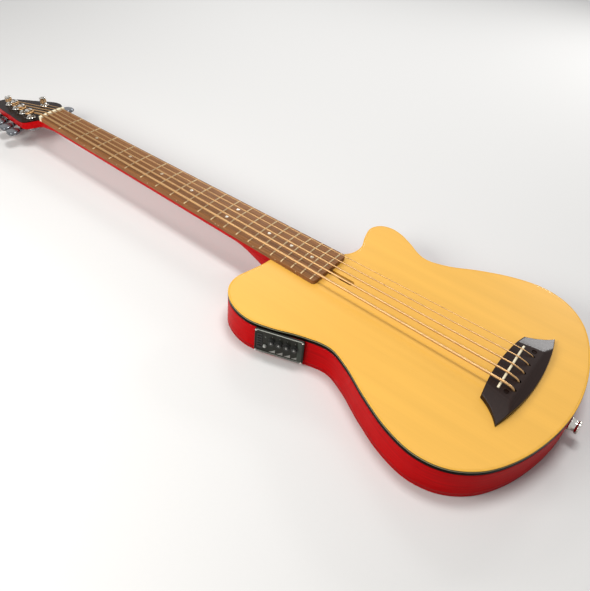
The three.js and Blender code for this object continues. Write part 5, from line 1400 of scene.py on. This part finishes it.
class BASS_OT_tuners(bpy.types.Operator):
    """Build the five tuners: plates, bushings, posts with gears and keys with worms"""
    bl_idname = "bass.tuners"
    bl_label = "Tuners"

    def execute(self, context):
        down = frame_of((0, 0, 0), (1, 0, 0), (0, -1, 0), (0, 0, -1))
        screw = moved(screw_shape(1.7, 0.7), down)
        screws = joined(*[shifted(screw, x, y, PLATE_LOW) for x, y in BASE_SCREW_PLACES])
        base, bushing, post, gear, key = (
            shape() for shape in (tuner_plate_shape, bushing_shape, post_shape, gear_shape, key_shape))
        slot = block((-8, -1.1, POST_HEIGHT - 3), (8, 1.1, POST_HEIGHT + 2), 0.3)
        for number in range(1, 6):
            where = joint_frame(number)
            piece(f"tuner_base_{number}", moved(base, where), "worn_chrome", "chrome",
                  replaces=[f"tuner_plate_{number}"])
            piece(f"tuner_screws_{number}", moved(screws, where), "chrome", "chrome")
            piece(f"bushing_{number}", moved(bushing, where), "chrome", "chrome",
                  replaces=[f"tuner_bushing_{number}"], sharp=25)
            turned = object_from(f"post_{number}", moved(post, where), sharp=28)
            carve(turned, moved(slot, where), sharp=28)
            settle(turned, "chrome", f"post_{number}", [f"tuner_post_{number}"])
            piece(f"gear_{number}", moved(gear, where), "steel", "chrome", f"post_{number}", sharp=30)
            worm_frame = where @ upright((WORM_X, 0, SHAFT_Z))
            piece(f"key_paddle_{number}", moved(key, worm_frame), "key", "chrome", f"key_{number}",
                  [f"tuner_key_{number}"], sharp=40)
        return {"FINISHED"}


def panel_shape(rim, sunk):
    """Panel: a rounded plate with a raised rim round a sunk field, open for the shafts, button and tray."""
    outline = rounded_box(PANEL_LENGTH / 2, PANEL_HEIGHT / 2, 2.5)
    profile = [
        [0.15, PANEL_BACK], [0, PANEL_BACK + 0.2], [0, PANEL_FRONT - 0.9], [0.25, PANEL_FRONT - 0.3],
        [0.8, PANEL_FRONT], [rim, PANEL_FRONT], [rim + sunk * 0.8, PANEL_FRONT - sunk],
        [rim + sunk + 0.4, PANEL_FRONT - sunk],
    ]
    holes = [circle(1.8, (x, KNOB_LEVEL), 24)[::-1] for x in KNOB_PLACES]
    holes.append(circle(2.4, BUTTON_PLACE, 24)[::-1])
    holes.append(rounded_box(4, 13.3, 0.8, (TRAY_PLACE, 0))[::-1])
    return plate(layered(outline, profile), holes)


def knob_shape():
    """Knob along Z: a skirt, ribs round its grip as a cosine of the angle, and a dished top."""
    def ribs(angle, height, radius):
        grip = (radius > 3.2) & (height > 1.0) & (height < 4.7)
        return np.where(grip, 0.16 * np.cos(24 * angle) - 0.16, 0.0)

    profile = [
        [0, -12], [1.5, -12], [1.5, 0.3], [4.2, 0.3], [4.2, 0.9], [3.9, 1.2], [3.75, 2.5], [3.65, 4.2],
        [3.45, 4.8], [3.1, 5.0], [2.5, 4.9], [0, 4.75],
    ]
    return lathe(profile, 96, ribs)


def wedge(x, y, width, height, low):
    """Level mark: a low plate under a triangle with a hollow upper side."""
    t = np.linspace(0, 1, 9)
    base = np.column_stack([x - width / 2 + width * t, np.full(9, y)])
    top = np.column_stack([x + width / 2 - width * t, y + 0.3 + height * (1 - t) ** 1.3])
    outline = np.vstack([base, top])
    return plate(layered(outline, [[0, low - 0.2], [0, low + 0.06], [0.1, low + 0.1]]))


def panel_marks_shape(field):
    """A level mark under each knob and a tick over it."""
    marks = [wedge(x + 0.6, -15.6, 8.4, 5.6, field) for x in KNOB_PLACES]
    ticks = [block((x - 0.2, 11.6, field - 0.1), (x + 0.2, 13.2, field + 0.12), 0.1) for x in KNOB_PLACES]
    return joined(*marks, *ticks)


def panel_rings_shape(field):
    """A raised ring round the button and a low one round each knob."""
    ring = lathe([
        [2.4, field - 0.1], [3.2, field - 0.1], [3.2, field + 0.25], [2.9, field + 0.4], [2.5, field + 0.3],
        [2.4, field - 0.1],
    ], 32)
    collar = lathe([
        [4.5, field - 0.1], [5.0, field - 0.1], [4.9, field + 0.2], [4.5, field + 0.2], [4.5, field - 0.1],
    ], 40)
    collars = [shifted(collar, x, KNOB_LEVEL, 0) for x in KNOB_PLACES]
    return joined(shifted(ring, *BUTTON_PLACE, 0), *collars)


def button_shape():
    """Button along Z: a foot behind the panel and a cap with a rounded rim."""
    return lathe([
        [0, -6.8], [2.8, -6.8], [2.8, -3.3], [2.2, -3.3], [2.2, 1.4], [1.9, 1.95], [1.3, 2.2], [0, 2.1],
    ], 36)


class BASS_OT_preamp(bpy.types.Operator):
    """Build the preamp: panel, marks, screws, knobs, button, lamp, housing and battery tray"""
    bl_idname = "bass.preamp"
    bl_label = "Preamp"

    def execute(self, context):
        look = context.scene.bass_panel
        where = panel_frame()
        rim, sunk = look.rim / MM, look.sunk / MM
        field = PANEL_FRONT - sunk

        def on_panel(name, shape, finish, slot="charcoal_plastic", **settings):
            piece(name, moved(shape, where), finish, slot, **settings)

        on_panel("panel", panel_shape(rim, sunk), "panel", replaces=["preamp_face"])
        on_panel("panel_marks", panel_marks_shape(field), "mark")
        on_panel("panel_rings", panel_rings_shape(field), "black", "black_plastic")
        # The upper bead is a light grey line painted as the highlight along the panel's upper edge; the low
        # one is a lighter grey bead along its lower edge.
        edge = (PANEL_HEIGHT - rim) / 2
        for name, level, half in (("rim", edge, 0.5), ("low_rim", 1.6 - PANEL_HEIGHT / 2, 1.3)):
            bead = block((-PANEL_BEAD_HALF, level - half, PANEL_FRONT - 0.3),
                         (PANEL_BEAD_HALF, level + half, PANEL_FRONT + 0.25), 0.3)
            on_panel(f"panel_{name}", bead, name)
        strip = block((24.6, -17.8, field - 0.2), (31, 17.8, field + 0.45), 0.5)
        on_panel("panel_strip", strip, "strip")
        screw = screw_shape(1.5, 0.7)
        screws = joined(*[shifted(screw, x, y, PANEL_FRONT - 0.05) for x, y in PANEL_SCREW_PLACES])
        on_panel("panel_screws", screws, "chrome", "chrome")
        on_panel("lamp", shifted(dome(1.2, 0.6, 0.5), *LAMP_PLACE, field), "lamp", "black_plastic")
        knob = knob_shape()
        dot = shifted(dome(1.1, 0.2, 0.3), 0, 0, 4.78)
        pointer = joined(dot, block((-0.2, 1.4, 4.6), (0.2, 3.2, 5.0), 0.1))
        for number, x in enumerate(KNOB_PLACES, 1):
            place, body = (x, KNOB_LEVEL, PANEL_FRONT), f"knob_{number}"
            on_panel(body, shifted(knob, *place), "black", "black_plastic", body=body,
                     replaces=[f"preamp_{body}"], sharp=40)
            on_panel(f"knob_pointer_{number}", shifted(pointer, *place), "button", body=body)
        on_panel("button_cap", shifted(button_shape(), *BUTTON_PLACE, PANEL_FRONT), "button", "black_plastic",
                 body="button", replaces=["preamp_button"])
        dress(["preamp_housing", "battery_tray"], "black")
        dress(["coin_cell"], "steel")
        return {"FINISHED"}


def jack_shape():
    """Barrel of the end pin, with the socket bored into its outer end."""
    return lathe([
        [0, -29], [5.6, -29], [6, -28.6], [6, 12.2], [5.7, 12.8], [5.0, 13], [3.6, 13], [3.4, 12.8],
        [3.4, -17], [0, -17],
    ], 48)


def strap_ring_shape():
    """Ring with a flange at each end of a hollow waist."""
    waist = np.linspace(0, 1, 9)
    hollow = np.column_stack([7.2 + 0.9 * (2 * waist - 1) ** 4, 3.0 + 6.6 * waist])
    return lathe(np.vstack([
        [[6.3, 0.3], [8.3, 0.3], [8.5, 0.7], [8.5, 2.0], [8.2, 2.6]], hollow,
        [[8.3, 10.1], [8.5, 10.6], [8.5, 11.9], [8.0, 12.6], [6.8, 12.7], [6.3, 12.7], [6.3, 0.3]],
    ]), 48)


class BASS_OT_end_pin(bpy.types.Operator):
    """Build the end pin with its jack socket and strap ring"""
    bl_idname = "bass.end_pin"
    bl_label = "End pin"

    def execute(self, context):
        where = frame_of((TAIL_X, 0, BODY_DEPTH / 2), (0, 1, 0), (0, 0, 1), (1, 0, 0))
        piece("jack_barrel", moved(jack_shape(), where), "chrome", "chrome", replaces=["end_pin_jack"])
        piece("strap_button", moved(strap_ring_shape(), where), "chrome", "chrome", replaces=["strap_ring"])
        return {"FINISHED"}


# Each lamp: its name, place, target, size in metres, power in watts and tint
LAMPS = (
    ("key_lamp", (-0.6, -0.95, 0.7), (-0.1, 0, 0), (0.9, 0.5), 11, (1, 0.98, 0.95)),
    ("top_lamp", (-0.2, 0.25, 2.1), (-0.2, 0, 0), (0.7, 0.5), 21, (1, 1, 1)),
    ("strip_lamp", (0.03, 1.55, 0.63), (0.15, 0.07, 0.06), (0.34, 0.16), 5, (1, 1, 1)),
    ("neck_lamp", (-1.15, 1.1, 0.95), (-0.4, 0, 0.05), (0.5, 0.3), 5, (1, 1, 1)),
)
# Strength of the room as light, and as the camera and mirrors see it
ROOM_LIGHT, ROOM_SEEN = 0.26, 0.85
ROOM_COLOUR = (0.94, 0.95, 0.97, 1)
FLOOR_RADII = (0.001, 900, 3000, 9000)


def area_lamp(name, place, target, size, power, tint):
    """A soft rectangular lamp that faces its target."""
    data = bpy.data.lights.new(name, "AREA")
    data.shape = "RECTANGLE"
    data.size, data.size_y = size
    data.energy = power
    data.color = tint
    lamp = bpy.data.objects.new(name, data)
    lamp.location = place
    lamp.rotation_euler = (Vector(target) - Vector(place)).to_track_quat("-Z", "Y").to_euler()
    bpy.context.scene.collection.objects.link(lamp)


def lay_floor(look):
    """A wide round of pale paper under the instrument."""
    material, tree, shader = new_finish("floor_paper")
    paper = noise(tree, place_on(tree, (1, 1, 1)), 180, detail=3)
    feed(shader, {
        "Base Color": mix(tree, paper, tuple(look.floor_colour), shaded(look.floor_colour, 0.985)),
        "Roughness": 0.9, "Specular IOR Level": 0.1,
    })
    low = CAD_BOX[0][2] / MM - 0.05
    rings, sides = len(FLOOR_RADII), 64
    grid = np.stack([np.column_stack([circle(radius, sides=sides), np.full(sides, low)])
                     for radius in FLOOR_RADII])
    floor = object_from("floor", (grid.reshape(-1, 3), grid_faces(rings, sides)), closed=False)
    floor.data.materials.append(material)


def fill_room(scene):
    """Even light from all round, brighter to the eye and in mirrors than as light."""
    world = bpy.data.worlds.new("soft_room")
    scene.world = world
    world.use_nodes = True
    tree = world.node_tree
    path = node(tree, "ShaderNodeLightPath").outputs
    seen = path["Is Camera Ray"]
    for ray in ("Is Glossy Ray", "Is Transmission Ray"):
        seen = node(tree, "ShaderNodeMath", {0: seen, 1: path[ray]}, operation="MAXIMUM").outputs[0]
    strength = spread(tree, seen, ROOM_LIGHT, ROOM_SEEN)
    feed(tree.nodes["Background"], {"Color": ROOM_COLOUR, "Strength": strength})


def place_camera(scene, look):
    """The camera at the photograph's viewing angle."""
    camera = bpy.data.cameras.new("camera")
    camera.sensor_width = 36
    camera.lens = look.lens
    camera.clip_start = 0.01
    eye = bpy.data.objects.new("camera", camera)
    eye.location = look.camera_place
    eye.rotation_euler = look.camera_turn
    scene.collection.objects.link(eye)
    scene.camera = eye


class BASS_OT_stage(bpy.types.Operator):
    """Set the pale floor, soft lamps and camera"""
    bl_idname = "bass.stage"
    bl_label = "Stage"

    def execute(self, context):
        scene = context.scene
        scene.view_settings.view_transform = "Standard"
        lay_floor(scene.bass_stage)
        fill_room(scene)
        for lamp in LAMPS:
            area_lamp(*lamp)
        place_camera(scene, scene.bass_stage)
        return {"FINISHED"}


class BASS_PT_panel(bpy.types.Panel):
    """Lists the steps that build the bass"""
    bl_idname = "BASS_PT_panel"
    bl_label = "Acoustic bass guitar"
    bl_space_type = "VIEW_3D"
    bl_region_type = "UI"
    bl_category = "Bass"

    def draw(self, context):
        for operator in OPERATORS:
            self.layout.operator(operator.bl_idname)
        for name in LOOKS:
            look = getattr(context.scene, name)
            box = self.layout.box()
            for key in look.__annotations__:
                box.prop(look, key)


LOOKS = {
    "bass_body": BassBodyLook, "bass_neck": BassNeckLook, "bass_metal": BassMetalLook,
    "bass_panel": BassPanelLook, "bass_stage": BassStageLook,
}
OPERATORS = (
    BASS_OT_body, BASS_OT_inside, BASS_OT_neck, BASS_OT_fingerboard, BASS_OT_bridge, BASS_OT_strings,
    BASS_OT_tuners, BASS_OT_preamp, BASS_OT_end_pin, BASS_OT_stage,
)


def register():
    for item in (*LOOKS.values(), *OPERATORS, BASS_PT_panel):
        bpy.utils.register_class(item)
    for name, look in LOOKS.items():
        setattr(bpy.types.Scene, name, PointerProperty(type=look))


def unregister():
    for name in LOOKS:
        delattr(bpy.types.Scene, name)
    for item in reversed((*LOOKS.values(), *OPERATORS, BASS_PT_panel)):
        bpy.utils.unregister_class(item)


def main():
    register()
    bpy.ops.bass.body()
    bpy.ops.bass.inside()
    bpy.ops.bass.neck()
    bpy.ops.bass.fingerboard()
    bpy.ops.bass.bridge()
    bpy.ops.bass.strings()
    bpy.ops.bass.tuners()
    bpy.ops.bass.preamp()
    bpy.ops.bass.end_pin()
    bpy.ops.bass.stage()


if __name__ == "__main__":
    main()
